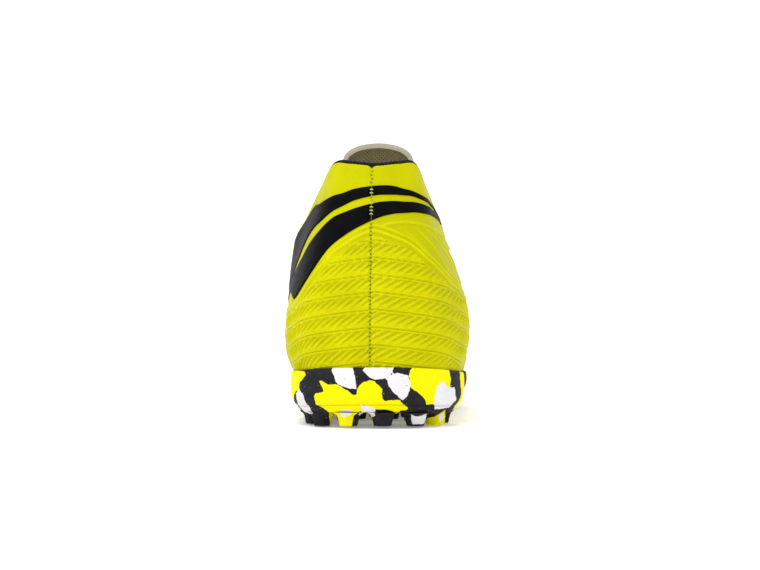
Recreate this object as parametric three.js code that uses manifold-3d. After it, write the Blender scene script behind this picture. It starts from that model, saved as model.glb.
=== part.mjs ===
// A left turf football shoe, size EU 42.5, as an assembly of separate pieces.
// Millimetres, +Z up, +Y towards the toe, +X towards the inner (medial) side of the foot.
import * as THREE from "three";
import Module from "manifold-3d";
import { mergeVertices } from "three/addons/utils/BufferGeometryUtils.js";

const wasm = await Module();
wasm.setup();

// ---- Driving dimensions ----

const LOOP = 64; // stations round the shoe: 0 is the back seam, 32 the toe tip, 64 the back seam again
const ROWS = 8; // rows of facets up a wall
const GAP = 0.3; // clearance between neighbouring solids
const FEATHER_INSET = 3.4; // from the sole's edge in to the foot of the upper
const STUD_HEIGHT = 4.7;
const OUTSOLE_THICKNESS = 2.6;
const STROBEL_THICKNESS = 1.2;
const SOCKLINER_THICKNESS = 3.6;
const COVER_THICKNESS = 0.8;
const EYESTAY_THICKNESS = 0.9;
const SKIN = 1.4; // outer panels: vamp and quarters
const STIFFENER = [1.7, 2.9]; // depths of the heel counter and toe puff below the outer surface
const LINING = [3.2, 4.0]; // depths of the vamp and collar linings
const QUARTER_LINING = [1.7, 2.5];
const LINING_TOP = 0.985; // share of the wall at which the linings are turned in
const FOAM_START = 1.7;
const FOAM_SWELL = 5.2; // how much the collar foam adds to the wall at its fullest

const TOP_EYELET = 14; // station of the top corner of the lacing
const THROAT_BASE = 20; // station where the vamp meets the quarters
const EYELET_PAIRS = 6;
const EYELET_RADIUS = 2.5;
const EYELET_ROW = 0.905; // how far up the wall the eyelets sit
const LACE_WIDTH = 3.6;
const LACE_THICKNESS = 1.1;
const LACE_REST = 0.35; // clearance between the lace and what it lies on

// Outline of the sole and top line of the upper, station by station.
// station, sole x, y, top x, y, z, foot angle, foot pull, top angle, top pull.
// An angle is above the horizontal; a pull is a share of the wall's chord.
const STATIONS = [
  [0, 0, 0, 0, 10.5, 100.6, 66, 0.9, 88, 0.9],
  [2, -14, 2, -9.5, 12, 101.6, 67, 0.9, 87, 0.9],
  [4, -26, 9.5, -16.6, 17.5, 102.2, 68, 0.95, 85, 0.85],
  [6, -32.6, 22.5, -22, 29, 95, 66, 1.0, 79, 0.9],
  [8, -34.9, 39, -29, 44, 84.3, 64, 1.15, 82, 1.0],
  [10, -35.6, 58, -34, 62, 79.5, 69, 0.95, 80, 1.15],
  [12, -36, 78, -31.6, 84, 83, 64, 1.2, 78, 1.0],
  [14, -37, 98, -18.5, 109, 97, 61, 1.35, 54, 1.0],
  [16, -39.3, 118, -14.5, 132, 88.5, 58, 1.5, 38, 1.05],
  [18, -41.9, 139, -12.5, 157, 78.2, 57, 1.6, 28, 1.1],
  [20, -44.4, 160, -9.5, 181, 69.2, 58, 1.6, 20, 1.1],
  [22, -45.8, 181, -6.5, 188, 66.6, 61, 1.5, 14, 1.15],
  [24, -45.3, 203, -4.5, 190, 66, 66, 1.35, 13, 1.1],
  [26, -42.7, 226, -2.8, 191, 65.7, 71, 1.1, 15, 1.05],
  [28, -39, 249, -1.2, 191.5, 65.6, 75, 0.9, 18, 0.95],
  [30, -27, 276.5, 0, 191.7, 65.5, 77, 0.85, 21, 0.85],
  [32, 4, 290, 1, 191.8, 65.5, 78, 0.85, 22, 0.82],
  [34, 34, 276.5, 2, 191.7, 65.5, 77, 0.85, 21, 0.85],
  [36, 45, 249, 3.2, 191.5, 65.6, 75, 0.9, 18, 0.95],
  [38, 49, 226, 4.6, 191, 65.7, 71, 1.1, 15, 1.05],
  [40, 50.6, 203, 6.2, 190, 66, 68, 1.25, 13, 1.1],
  [42, 49.2, 181, 8.2, 188, 66.6, 66, 1.35, 14, 1.15],
  [44, 45.2, 160, 11, 181, 69.2, 62, 1.45, 20, 1.1],
  [46, 40.5, 139, 13.5, 157, 78.2, 58, 1.5, 28, 1.1],
  [48, 36.5, 118, 15, 132, 88.5, 56, 1.45, 38, 1.05],
  [50, 35.4, 98, 18.5, 109, 97, 55, 1.4, 54, 1.0],
  [52, 35.4, 78, 27, 84, 85, 57, 1.35, 68, 1.0],
  [54, 36, 58, 29, 62, 82, 60, 1.25, 75, 1.0],
  [56, 36.4, 39, 25.5, 44, 86.5, 61, 1.2, 76, 0.95],
  [58, 33.3, 22.5, 20.4, 29, 95.2, 66, 1.0, 78, 0.9],
  [60, 26, 9.5, 16, 17.5, 102.2, 69, 0.9, 84, 0.9],
  [62, 14, 2, 9, 12, 101.6, 67, 0.9, 87, 0.9],
];

// Heights along the sole: y, underside of the plate, bottom of the foot's recess, top of the rim.
const SOLE_HEIGHTS = [
  [0, 6, 19.3, 23.2],
  [20, STUD_HEIGHT, 18.6, 21.6],
  [60, STUD_HEIGHT, 17.4, 20.3],
  [110, STUD_HEIGHT, 16.4, 19.6],
  [160, STUD_HEIGHT, 14.8, 18.8],
  [205, STUD_HEIGHT, 13.6, 18.2],
  [240, 6.6, 14.5, 19.6],
  [270, 11, 17.6, 23.8],
  [290, 15.5, 21.2, 28],
];

// ---- Interpolation ----

// Smooth curve through rows of [key, value, value, ...]; period closes it into a loop.
function interpolate(rows, at, period = 0) {
  const n = rows.length;
  const row = (i) => {
    const turn = period ? Math.floor(i / n) : 0;
    const r = rows[period ? i - turn * n : Math.min(n - 1, Math.max(0, i))];
    return { key: r[0] + turn * period, values: r.slice(1) };
  };
  const key = period ? ((at % period) + period) % period : at;
  let i = 0;
  while (i < n - (period ? 1 : 2) && rows[i + 1][0] <= key) i++;
  const [before, from, to, after] = [row(i - 1), row(i), row(i + 1), row(i + 2)];
  const step = to.key - from.key;
  const t = Math.min(1, Math.max(0, (key - from.key) / step));
  const slope = (a, b, k) => (b.values[k] - a.values[k]) / Math.max(1e-9, b.key - a.key);
  return from.values.map((value, k) => {
    const s0 = slope(before, to, k) * step;
    const s1 = slope(from, after, k) * step;
    return hermite(t, value, s0, to.values[k], s1);
  });
}

function hermite(t, start, startSlope, end, endSlope) {
  const t2 = t * t;
  const t3 = t2 * t;
  return (
    (2 * t3 - 3 * t2 + 1) * start +
    (t3 - 2 * t2 + t) * startSlope +
    (3 * t2 - 2 * t3) * end +
    (t3 - t2) * endSlope
  );
}

const smooth = (x) => {
  const t = Math.min(1, Math.max(0, x));
  return t * t * (3 - 2 * t);
};

const soleHeights = (y) => {
  const [plate, floor, rim] = interpolate(SOLE_HEIGHTS, y);
  return { plate: Math.max(STUD_HEIGHT, plate), floor, rim };
};

// ---- The shoe's outer surface ----

const station = (u) => interpolate(STATIONS, u, LOOP);

// Outward horizontal normal of the sole's outline.
function outlineNormal(u) {
  const a = station(u - 0.25);
  const b = station(u + 0.25);
  return new THREE.Vector2(a[1] - b[1], b[0] - a[0]).normalize();
}

// Point of the sole's outline, moved in by inset, at the height that level names.
function outlinePoint(u, inset, height) {
  const [x, y] = station(u);
  const n = outlineNormal(u);
  return new THREE.Vector3(x - n.x * inset, y - n.y * inset, height(y));
}

// Point of the upper's outer surface: u is the station, v runs from the foot (0) to the top line (1).
function wallPoint(u, v) {
  const [, , tx, ty, tz, footAngle, footPull, topAngle, topPull] = station(u);
  const foot = outlinePoint(u, FEATHER_INSET, (y) => soleHeights(y).floor + GAP);
  const top = new THREE.Vector3(tx, ty, tz);
  const chord = foot.distanceTo(top);
  const out = outlineNormal(u);
  const inward = new THREE.Vector2(top.x - foot.x, top.y - foot.y)
    .addScaledVector(out, -12)
    .normalize();
  const a0 = THREE.MathUtils.degToRad(footAngle);
  const a1 = THREE.MathUtils.degToRad(topAngle);
  const k0 = footPull * chord;
  const k1 = topPull * chord;
  return new THREE.Vector3(
    hermite(v, foot.x, k0 * Math.cos(a0) * out.x, top.x, k1 * Math.cos(a1) * inward.x),
    hermite(v, foot.y, k0 * Math.cos(a0) * out.y, top.y, k1 * Math.cos(a1) * inward.y),
    hermite(v, foot.z, k0 * Math.sin(a0), top.z, k1 * Math.sin(a1)),
  );
}

function wallNormal(u, v) {
  const alongU = wallPoint(u + 0.1, v).sub(wallPoint(u - 0.1, v));
  const alongV = wallPoint(u, v + 0.01).sub(wallPoint(u, v - 0.01));
  return alongV.cross(alongU).normalize();
}

// Point at a depth below the outer surface; a negative depth stands proud of it.
const wallDepth = (u, v, depth) =>
  wallPoint(u, v).addScaledVector(wallNormal(u, v), -depth);

// ---- Solids from rings of points ----

function closedMesh(points, faces) {
  const geometry = new THREE.BufferGeometry();
  const positions = faces.flat().flatMap((i) => points[i].toArray());
  geometry.setAttribute("position", new THREE.Float32BufferAttribute(positions, 3));
  return geometry;
}

// Solid through a row of closed rings with equal point counts. A cap lists triangles of ring indices.
// The two halves of a ring are split on mirrored diagonals, so that facets of nested layers match.
function ringSolid(rings, cap) {
  const n = rings[0].length;
  const points = rings.flat();
  const faces = [];
  for (let r = 0; r + 1 < rings.length; r++)
    for (let i = 0; i < n; i++) {
      const j = (i + 1) % n;
      const [a, b, c, d] = [r * n + i, r * n + j, (r + 1) * n + j, (r + 1) * n + i];
      if (i < n / 2) faces.push([a, b, c], [a, c, d]);
      else faces.push([a, b, d], [b, c, d]);
    }
  const last = (rings.length - 1) * n;
  for (const [a, b, c] of cap) {
    faces.push([c, b, a]);
    faces.push([last + a, last + b, last + c]);
  }
  return outwards(closedMesh(points, faces));
}

// Turns a geometry's faces outwards if its volume came out negative.
function outwards(geometry) {
  const p = geometry.attributes.position.array;
  let volume = 0;
  const at = (i) => new THREE.Vector3(p[i], p[i + 1], p[i + 2]);
  for (let i = 0; i < p.length; i += 9) volume += at(i).dot(at(i + 3).cross(at(i + 6)));
  if (volume > 0) return geometry;
  for (let i = 0; i < p.length; i += 9)
    for (let k = 0; k < 3; k++) [p[i + 3 + k], p[i + 6 + k]] = [p[i + 6 + k], p[i + 3 + k]];
  return geometry;
}

// Cap of a ring whose points pair up left and right across the shoe.
function ladderCap(n) {
  const cap = [];
  for (let i = 0; i < n / 2; i++) {
    const [a, b, c, d] = [i, i + 1, n - i - 1, (n - i) % n];
    if (b !== c) cap.push([a, b, c]);
    if (a !== d) cap.push([a, c, d]);
  }
  return cap;
}

// Slab with the sole's outline: one ring for each [inset, height(y)].
function soleSlab(levels, count = LOOP) {
  const rings = levels.map(([inset, height]) =>
    Array.from({ length: count }, (_, i) =>
      outlinePoint((i * LOOP) / count, inset, height),
    ),
  );
  return ringSolid(rings, ladderCap(count));
}

// Wall patch from station u0 to u1. section(u) gives two lists of [v, depth], outer and inner side.
function wallPatch(u0, u1, section, steps = Math.round(u1 - u0)) {
  const rings = Array.from({ length: steps + 1 }, (_, i) => {
    const u = u0 + ((u1 - u0) * i) / steps;
    const [outer, inner] = section(u);
    return [...outer, ...inner.reverse()].map(([v, d]) => wallDepth(u, v, d));
  });
  return ringSolid(rings, ladderCap(rings[0].length));
}

// Section between two depths, each a number or a function of v, on the rows that all layers share.
function layer(v0, v1, outerDepth, innerDepth) {
  const inside = Array.from({ length: ROWS }, (_, i) => i / ROWS).filter((v) => v > v0 && v < v1);
  return evenLayer([v0, ...inside, v1], outerDepth, innerDepth);
}

function evenLayer(vs, outerDepth, innerDepth) {
  const value = (f, v) => (typeof f === "function" ? f(v) : f);
  return [vs.map((v) => [v, value(outerDepth, v)]), vs.map((v) => [v, value(innerDepth, v)])];
}

// ---- Booleans ----

function toManifold(geometry) {
  const bare = geometry.clone();
  for (const name of Object.keys(bare.attributes))
    if (name !== "position") bare.deleteAttribute(name);
  const merged = mergeVertices(bare.index ? bare.toNonIndexed() : bare, 1e-4);
  return new wasm.Manifold(
    new wasm.Mesh({
      numProp: 3,
      vertProperties: merged.attributes.position.array,
      triVerts: new Uint32Array(merged.index.array),
    }),
  );
}

function fromManifold(solid) {
  const mesh = solid.getMesh();
  const geometry = new THREE.BufferGeometry();
  geometry.setAttribute("position", new THREE.BufferAttribute(mesh.vertProperties, 3));
  geometry.setIndex(new THREE.BufferAttribute(mesh.triVerts, 1));
  return geometry.toNonIndexed();
}

const joined = (geometries) =>
  fromManifold(geometries.map(toManifold).reduce((sum, next) => sum.add(next)));

const drilled = (geometry, drills) =>
  fromManifold(drills.map(toManifold).reduce((sum, next) => sum.subtract(next), toManifold(geometry)));

// ---- Materials and assembly ----

const NEON = 0xd8e000;
const BLACK = 0x17171a;
const LIGHT_GREY = 0xc9c7bd;
const TAUPE = 0x857c5e;
const WHITE = 0xe9e7ea;

const finish = (color, roughness = 0.7) =>
  new THREE.MeshStandardMaterial({ color, roughness, metalness: 0 });

const shoe = new THREE.Group();

function add(name, geometry, material) {
  const mesh = new THREE.Mesh(geometry, material);
  mesh.name = name;
  shoe.add(mesh);
}

// ---- Sole unit ----

const STUD_SIDES = 6;
const EDGE_STUDS = 46;
const FIRST_STUD = 2.8; // how far from the back seam the first edge stud sits, on the medial side
const EDGE_STUD_INSET = 9.7;
const EDGE_STUD_RADIUS = 4.9;
const INNER_STUD_RADIUS = 3.7;
const INNER_STUD_PITCH = 14;
const INNER_STUD_KEEP = 21; // inner studs stay this far inside the sole's edge
const INNER_STUD_START = 48;
const INNER_STUD_END = 268;
const ARCH = [88, 132]; // no inner studs under the arch

// Tapered stud whose foot lies a stud's height below the plate.
function stud(x, y, radius) {
  const plate = soleHeights(y).plate;
  const height = STUD_HEIGHT + OUTSOLE_THICKNESS / 2;
  const geometry = new THREE.CylinderGeometry(radius, radius * 0.74, height, STUD_SIDES);
  geometry.rotateX(Math.PI / 2);
  geometry.translate(x, y, plate - STUD_HEIGHT + height / 2);
  return geometry;
}

// Studs at even distances round the sole's edge, starting from the heel on the medial side.
function edgeStuds() {
  const samples = Array.from({ length: LOOP * 20 }, (_, i) =>
    outlinePoint(LOOP - i / 20, EDGE_STUD_INSET, () => 0),
  );
  const run = [0];
  for (let i = 1; i < samples.length; i++)
    run.push(run[i - 1] + samples[i].distanceTo(samples[i - 1]));
  const pitch = (run.at(-1) + samples[0].distanceTo(samples.at(-1))) / EDGE_STUDS;
  return Array.from({ length: EDGE_STUDS }, (_, i) => {
    const p = samples[run.findIndex((r) => r >= FIRST_STUD + i * pitch)];
    return stud(p.x, p.y, EDGE_STUD_RADIUS);
  });
}

// Half-widths of the sole at y: lateral and medial x of the outline.
function soleSpan(y) {
  const cross = (from, to) => {
    for (let u = from; u < to; u += 0.25) {
      const [a, b] = [station(u), station(u + 0.25)];
      if ((a[1] - y) * (b[1] - y) <= 0) return a[0] + ((b[0] - a[0]) * (y - a[1])) / (b[1] - a[1]);
    }
    return 0;
  };
  return [cross(0, LOOP / 2), cross(LOOP / 2, LOOP)];
}

function innerStuds() {
  const studs = [];
  for (let row = 0, y = INNER_STUD_START; y < INNER_STUD_END; y += INNER_STUD_PITCH * 0.87, row++) {
    if (y > ARCH[0] && y < ARCH[1]) continue;
    const [lateral, medial] = soleSpan(y);
    const middle = (lateral + medial) / 2;
    const reach = (medial - lateral) / 2 - INNER_STUD_KEEP;
    const shift = row % 2 ? INNER_STUD_PITCH / 2 : 0;
    for (let x = shift - 4 * INNER_STUD_PITCH; x <= reach; x += INNER_STUD_PITCH)
      if (Math.abs(x) <= reach) studs.push(stud(middle + x, y, INNER_STUD_RADIUS));
  }
  return studs;
}

function outsole() {
  const plate = soleSlab([
    [6.2, (y) => soleHeights(y).plate],
    [4.8, (y) => soleHeights(y).plate + 0.9],
    [4.3, (y) => soleHeights(y).plate + OUTSOLE_THICKNESS],
  ]);
  return joined([plate, ...edgeStuds(), ...innerStuds()]);
}

// Share of the wall's height at which the outer surface reaches the rim of the midsole.
function rimShare(u) {
  const rim = soleHeights(station(u)[1]).rim;
  let [low, high] = [0, 0.4];
  for (let i = 0; i < 24; i++) {
    const middle = (low + high) / 2;
    if (wallPoint(u, middle).z < rim) low = middle;
    else high = middle;
  }
  return low;
}

// Profile of the midsole's side, as the inset from the outline and the height above the outsole
// or the drop below the rim.
const MIDSOLE_FOOT = [[4.2, 0], [1.7, 1.8], [0.4, 4.6]];
const MIDSOLE_RIM = [[0, 5.5], [0.2, 1.1], [0.9, 0.2]];

function midsole() {
  const start = OUTSOLE_THICKNESS + GAP;
  const levels = [
    ...MIDSOLE_FOOT.map(([inset, height]) => [inset, (y) => soleHeights(y).plate + start + height]),
    ...MIDSOLE_RIM.map(([inset, drop]) => [inset, (y) => soleHeights(y).rim - drop]),
  ];
  const ring = (point) => Array.from({ length: LOOP }, (_, i) => point(i));
  const rings = levels.map(([inset, height]) => ring((u) => outlinePoint(u, inset, height)));
  rings.push(ring((u) => wallDepth(u, rimShare(u), -GAP)));
  rings.push(ring((u) => {
    const p = wallDepth(u, 0, -GAP);
    p.z = soleHeights(station(u)[1]).floor;
    return p;
  }));
  return ringSolid(rings, ladderCap(LOOP));
}

const SOLE_INNER = FEATHER_INSET + LINING[1] + GAP;

function insoleLayer(bottom, thickness, inset) {
  return soleSlab([
    [inset, (y) => soleHeights(y).floor + bottom],
    [inset, (y) => soleHeights(y).floor + bottom + thickness],
  ]);
}

const strobelTop = GAP + STROBEL_THICKNESS;
const socklinerTop = strobelTop + GAP + SOCKLINER_THICKNESS;

add("outsole", outsole(), finish(NEON, 0.75));
add("midsole", midsole(), finish(WHITE, 0.7));
const strobelBoard = insoleLayer(GAP, STROBEL_THICKNESS, SOLE_INNER);
const socklinerFoam = insoleLayer(strobelTop + GAP, SOCKLINER_THICKNESS, SOLE_INNER + 0.5);
const socklinerCover = insoleLayer(socklinerTop + GAP, COVER_THICKNESS, SOLE_INNER + 1.2);
add("strobel_board", strobelBoard, finish(WHITE, 0.9));
add("sockliner_foam", socklinerFoam, finish(BLACK, 0.9));
add("sockliner_cover", socklinerCover, finish(BLACK, 0.9));

// ---- Upper panels ----

// Eyelets: station and side of the shoe for each, bottom pair first.
const eyeletStation = (pair) =>
  THROAT_BASE - 0.75 - ((THROAT_BASE - TOP_EYELET - 1.5) * pair) / (EYELET_PAIRS - 1);
const mirrored = (u, medial) => (medial ? LOOP - u : u);

function eyeletDrills(medial) {
  return Array.from({ length: EYELET_PAIRS }, (_, pair) => {
    const u = mirrored(eyeletStation(pair), medial);
    const normal = wallNormal(u, EYELET_ROW);
    const drill = new THREE.CylinderGeometry(EYELET_RADIUS, EYELET_RADIUS, 12, 10);
    drill.applyQuaternion(
      new THREE.Quaternion().setFromUnitVectors(new THREE.Vector3(0, 1, 0), normal),
    );
    const centre = wallPoint(u, EYELET_ROW);
    drill.translate(centre.x, centre.y, centre.z);
    return drill;
  });
}

// Runs a wall patch on the lateral side, or its mirror on the medial side.
function sidePatch(medial, u0, u1, section) {
  const [a, b] = medial ? [LOOP - u1, LOOP - u0] : [u0, u1];
  return wallPatch(a, b, (u) => section(medial ? LOOP - u : u), Math.round(u1 - u0));
}

const SEAM_GAP = 0.02; // stations between neighbouring panels

for (const [side, medial] of [["lateral", false], ["medial", true]]) {
  const drills = eyeletDrills(medial);
  const quarter = sidePatch(medial, SEAM_GAP, THROAT_BASE - SEAM_GAP, () => layer(0, 1, 0, SKIN));
  add(`quarter_${side}`, drilled(quarter, drills), finish(NEON));
  const eyestay = sidePatch(medial, TOP_EYELET - 1, THROAT_BASE - SEAM_GAP, () =>
    layer(0.75, 0.995, -GAP - EYESTAY_THICKNESS, -GAP),
  );
  add(`eyestay_${side}`, drilled(eyestay, drills), finish(NEON, 0.6));
  const lining = sidePatch(medial, TOP_EYELET - 1, THROAT_BASE - SEAM_GAP, () =>
    layer(0, LINING_TOP, ...QUARTER_LINING),
  );
  add(`quarter_lining_${side}`, drilled(lining, drills), finish(BLACK, 0.95));
}

const VAMP_START = THROAT_BASE + SEAM_GAP;
const PUFF_START = 27;

function frontPatch(start, ...section) {
  return wallPatch(start, LOOP - start, () => layer(...section));
}

add("vamp", frontPatch(VAMP_START, 0, 1, 0, SKIN), finish(NEON));
add("toe_puff", frontPatch(PUFF_START, 0.125, 0.5, ...STIFFENER), finish(WHITE));
add("vamp_lining", frontPatch(VAMP_START, 0, LINING_TOP, ...LINING), finish(BLACK, 0.95));

// ---- Heel and collar ----

const COLLAR_END = 12.9; // station where the padded collar stops, short of the lacing
const FOAM_ROWS = [0.64, 0.75, 0.875, 0.935];
const FOAM_GAP = 0.4;
const SWELL_FOOT = 0.5; // share of the wall at which the padding starts to thicken
const SWELL_RISE = 0.34; // share of the wall over which it reaches its full thickness
const FADE_START = 8; // station at which the padding starts to thin towards the lacing
const FADE_LENGTH = 5;
const FADE_LOSS = 0.85; // share of its thickness that it loses there

// How much the collar's padding adds to the wall's thickness.
function collarSwell(u, v) {
  const away = Math.min(u, LOOP - u);
  const alongCollar = 1 - FADE_LOSS * smooth((away - FADE_START) / FADE_LENGTH);
  return FOAM_SWELL * alongCollar * smooth((v - SWELL_FOOT) / SWELL_RISE);
}

const wrapped = (u) => ((u % LOOP) + LOOP) % LOOP;

function collarFoam() {
  return wallPatch(-COLLAR_END, COLLAR_END, (u) =>
    evenLayer(FOAM_ROWS, FOAM_START, (v) => LINING[0] - FOAM_GAP + collarSwell(wrapped(u), v)),
  2 * Math.round(COLLAR_END));
}

// The lining covers the foam's inner face and hooks over its top to meet the outer panel.
function collarLining() {
  const vs = [0, 0.125, 0.25, 0.375, 0.5, 0.64, 0.75, 0.875];
  return wallPatch(-COLLAR_END, COLLAR_END, (u) => {
    const swell = (v) => collarSwell(wrapped(u), v);
    const [outer, inner] = evenLayer(vs, (v) => LINING[0] + swell(v), (v) => LINING[1] + swell(v));
    outer.push([0.955, LINING[0] + swell(1)], [0.962, FOAM_START + 0.1]);
    inner.push([0.985, LINING[1] + swell(1) - 1.1], [1.02, FOAM_START + 0.1]);
    return [outer, inner];
  }, 2 * Math.round(COLLAR_END));
}

add("heel_counter", wallPatch(-9, 9, () => layer(0.125, 0.6, ...STIFFENER)), finish(WHITE));
add("collar_foam", collarFoam(), finish(BLACK, 0.95));
add("collar_lining", collarLining(), finish(BLACK, 0.95));

// ---- Heel stripes ----

const STRIPE_DEPTH = [-1.1, -0.5];
const STRIPE_STEPS = 26;

// Two black bands over the heel: signed station (lateral positive), then the shares of the wall
// at the top and bottom edge of the upper band and of the lower band.
const BANDS = [
  [-8.4, 0.985, 0.972, 0.96, 0.945],
  [-7.7, 0.965, 0.95, 0.938, 0.918],
  [-6.9, 0.935, 0.918, 0.902, 0.87],
  [-5.5, 0.884, 0.862, 0.842, 0.802],
  [-4.1, 0.845, 0.822, 0.802, 0.757],
  [-2.6, 0.865, 0.835, 0.806, 0.755],
  [-1.2, 0.89, 0.845, 0.815, 0.753],
  [0, 0.895, 0.847, 0.812, 0.735],
  [1.6, 0.872, 0.815, 0.777, 0.676],
  [3, 0.836, 0.765, 0.733, 0.597],
  [4.2, 0.822, 0.722, 0.678, 0.486],
  [5.3, 0.852, 0.722, 0.65, 0.42],
  [6.05, 0.9, 0.716, 0.618, 0.408],
  [7.1, 0.95, 0.666, 0.597, 0.482],
  [9, 0.982, 0.62, 0.572, 0.538],
  [11, 0.93, 0.64, 0.595, 0.566],
  [12.8, 0.76, 0.69, 0.64, 0.615],
];

function stripe(upper, medial) {
  const [u0, u1] = medial ? [-8.4, -SEAM_GAP * 2] : [SEAM_GAP * 2, 12.8];
  return wallPatch(u0, u1, (u) => {
    const edges = interpolate(BANDS, u);
    const [high, low] = upper ? edges.slice(0, 2) : edges.slice(2);
    return evenLayer([low, (low + high) / 2, high], ...STRIPE_DEPTH);
  }, STRIPE_STEPS);
}

for (const [side, medial] of [["lateral", false], ["medial", true]])
  for (const [place, upper] of [["upper", true], ["lower", false]])
    add(`heel_stripe_${place}_${side}`, stripe(upper, medial), finish(BLACK, 0.5));

// ---- Tongue ----

const TONGUE_DEPTH = 4.9; // depth of the tongue's face below the line of the outer surface
const TONGUE_THICKNESS = 1.6;
const TONGUE_BASE = 28; // station under the vamp where the tongue's base is sewn
const TONGUE_REACH = 0.25; // share of the wall that the tongue covers under each quarter
const BRIDGE_STEPS = 4; // facets between the two edges of the throat
const FLAP_ROOT = 9; // heights above the top eyelets, along the tongue
const FLAP_TOP = 26;
const FLAP_HALF_WIDTH = 0.55; // share of the tongue's span
const FLAP_LEAN = 1.1; // how far the flap leans to the medial side
const FLAP_ANGLE = [42, 68]; // above the horizontal, at the flap's foot and where it runs straight
const FLAP_BEND = 12; // length over which it steepens
const FLAP_SPREAD = 0.02; // share by which the flap widens as it rises
const FLAP_FLATTENING = 0.4; // share by which its curve round the foot opens out
const FLAP_CROWN = 3; // how far the flap's top edge falls towards its corners
const FLAP_CORNER = 5; // how much more it falls at the rounded corners
const HALF_SPAN = 30; // mm round the foot from the middle of the tongue to a wing's edge, about
const LOWER_TONGUE_TOP = 4.5;
// Heights above the top eyelets and the share of its full width that the lower tongue has there.
const LOWER_TONGUE_TAPER = [[0.01, 1], [1.5, 0.86], [3, 0.72], [LOWER_TONGUE_TOP, 0.58]];
const FLAP_DEPTHS = { face: [4.4, 5.2], foam: [5.5, 8.8], lining: [9.1, 9.9] };

// The surface over the foot between the quarters, level with their outer faces.
// t runs from the lateral wing (-1) over the instep (0) to the medial wing (1).
function throatPoint(u, t) {
  const side = Math.abs(t);
  if (side > 0.5) return wallPoint(mirrored(u, t > 0), 1 - ((side - 0.5) / 0.5) * TONGUE_REACH);
  const edges = [false, true].map((medial) => mirrored(u, medial));
  const [a, b] = edges.map((e) => wallPoint(e, 1));
  const [da, db] = edges.map((e, i) => (i ? b : a).clone().sub(wallPoint(e, 0.99)).normalize());
  const span = a.distanceTo(b);
  const s = t + 0.5;
  const blend = (axis) => hermite(s, a[axis], da[axis] * span, b[axis], -db[axis] * span);
  return new THREE.Vector3(blend("x"), blend("y"), blend("z"));
}

// Way the tongue rises above the top eyelets: back and up, steepening as it goes.
function flapRise(height) {
  const step = 0.5;
  const rise = new THREE.Vector3();
  for (let h = 0; h < height; h += step) {
    const [low, high] = FLAP_ANGLE;
    const angle = THREE.MathUtils.degToRad(low + (high - low) * smooth((h + step / 2) / FLAP_BEND));
    const length = Math.min(step, height - h);
    rise.y -= length * Math.cos(angle);
    rise.z += length * Math.sin(angle);
  }
  rise.x = FLAP_LEAN * smooth((height - LOWER_TONGUE_TOP) / FLAP_BEND);
  return rise;
}

// Above its lower part the tongue spreads and flattens as it rises.
function flapPoint(height, t) {
  const point = throatPoint(TOP_EYELET, t);
  const middle = throatPoint(TOP_EYELET, 0);
  const opening = smooth((height - LOWER_TONGUE_TOP) / FLAP_BEND);
  point.x += (point.x - middle.x) * FLAP_SPREAD * opening;
  point.y += (middle.y - point.y) * FLAP_FLATTENING * opening;
  point.z += (middle.z - point.z) * FLAP_FLATTENING * opening;
  return point.add(flapRise(height));
}

// p is a station offset below the top eyelets (negative) or a height above them in mm (positive).
const tongueSurface = (p, t) => (p < 0 ? throatPoint(TOP_EYELET - p, t) : flapPoint(p, t));

function tongueDepth(p, t, depth) {
  const across = tongueSurface(p, t + 0.02).sub(tongueSurface(p, t - 0.02));
  const along = tongueSurface(p + 0.05, t).sub(tongueSurface(p - 0.05, t));
  const normal = along.cross(across).normalize();
  return tongueSurface(p, t).addScaledVector(normal, -depth);
}

const TONGUE_COLUMNS = (() => {
  const wing = [1, 0.75];
  const bridge = Array.from({ length: BRIDGE_STEPS + 1 }, (_, i) => i / BRIDGE_STEPS - 0.5);
  return [...wing.map((t) => -t), ...bridge, ...wing.reverse()];
})();

// Ring of the tongue: place(t) gives its parameter p along the tongue.
function tongueRing(columns, place, [outer, inner]) {
  const side = (depth) => columns.map((t) => tongueDepth(place(t), t, depth));
  return [...side(outer), ...side(inner).reverse()];
}

function lowerTongue() {
  const depths = [TONGUE_DEPTH, TONGUE_DEPTH + TONGUE_THICKNESS];
  const rings = [];
  for (let p = TOP_EYELET - TONGUE_BASE; p < 0; p++)
    rings.push(tongueRing(TONGUE_COLUMNS, () => p, depths));
  for (const [height, width] of LOWER_TONGUE_TAPER)
    rings.push(tongueRing(TONGUE_COLUMNS.map((t) => t * width), () => height, depths));
  return ringSolid(rings, ladderCap(rings[0].length));
}

function flapLayer(depths, margin) {
  const columns = TONGUE_COLUMNS.map((t) => t * (FLAP_HALF_WIDTH - margin / HALF_SPAN));
  const top = (t) => {
    const s = Math.abs(t) / FLAP_HALF_WIDTH;
    return FLAP_TOP - margin - FLAP_CROWN * s ** 2 - FLAP_CORNER * s ** 12;
  };
  const steps = 5;
  const rings = Array.from({ length: steps + 1 }, (_, i) =>
    tongueRing(columns, (t) => FLAP_ROOT + ((top(t) - FLAP_ROOT) * i) / steps, depths),
  );
  return ringSolid(rings, ladderCap(rings[0].length));
}

add("tongue_lower", lowerTongue(), finish(LIGHT_GREY, 0.7));
add("tongue_flap_face", flapLayer(FLAP_DEPTHS.face, 0), finish(LIGHT_GREY, 0.7));
add("tongue_flap_foam", flapLayer(FLAP_DEPTHS.foam, 0.8), finish(WHITE, 0.9));
add("tongue_flap_lining", flapLayer(FLAP_DEPTHS.lining, 0), finish(TAUPE, 0.95));

// ---- Lace ----

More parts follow.
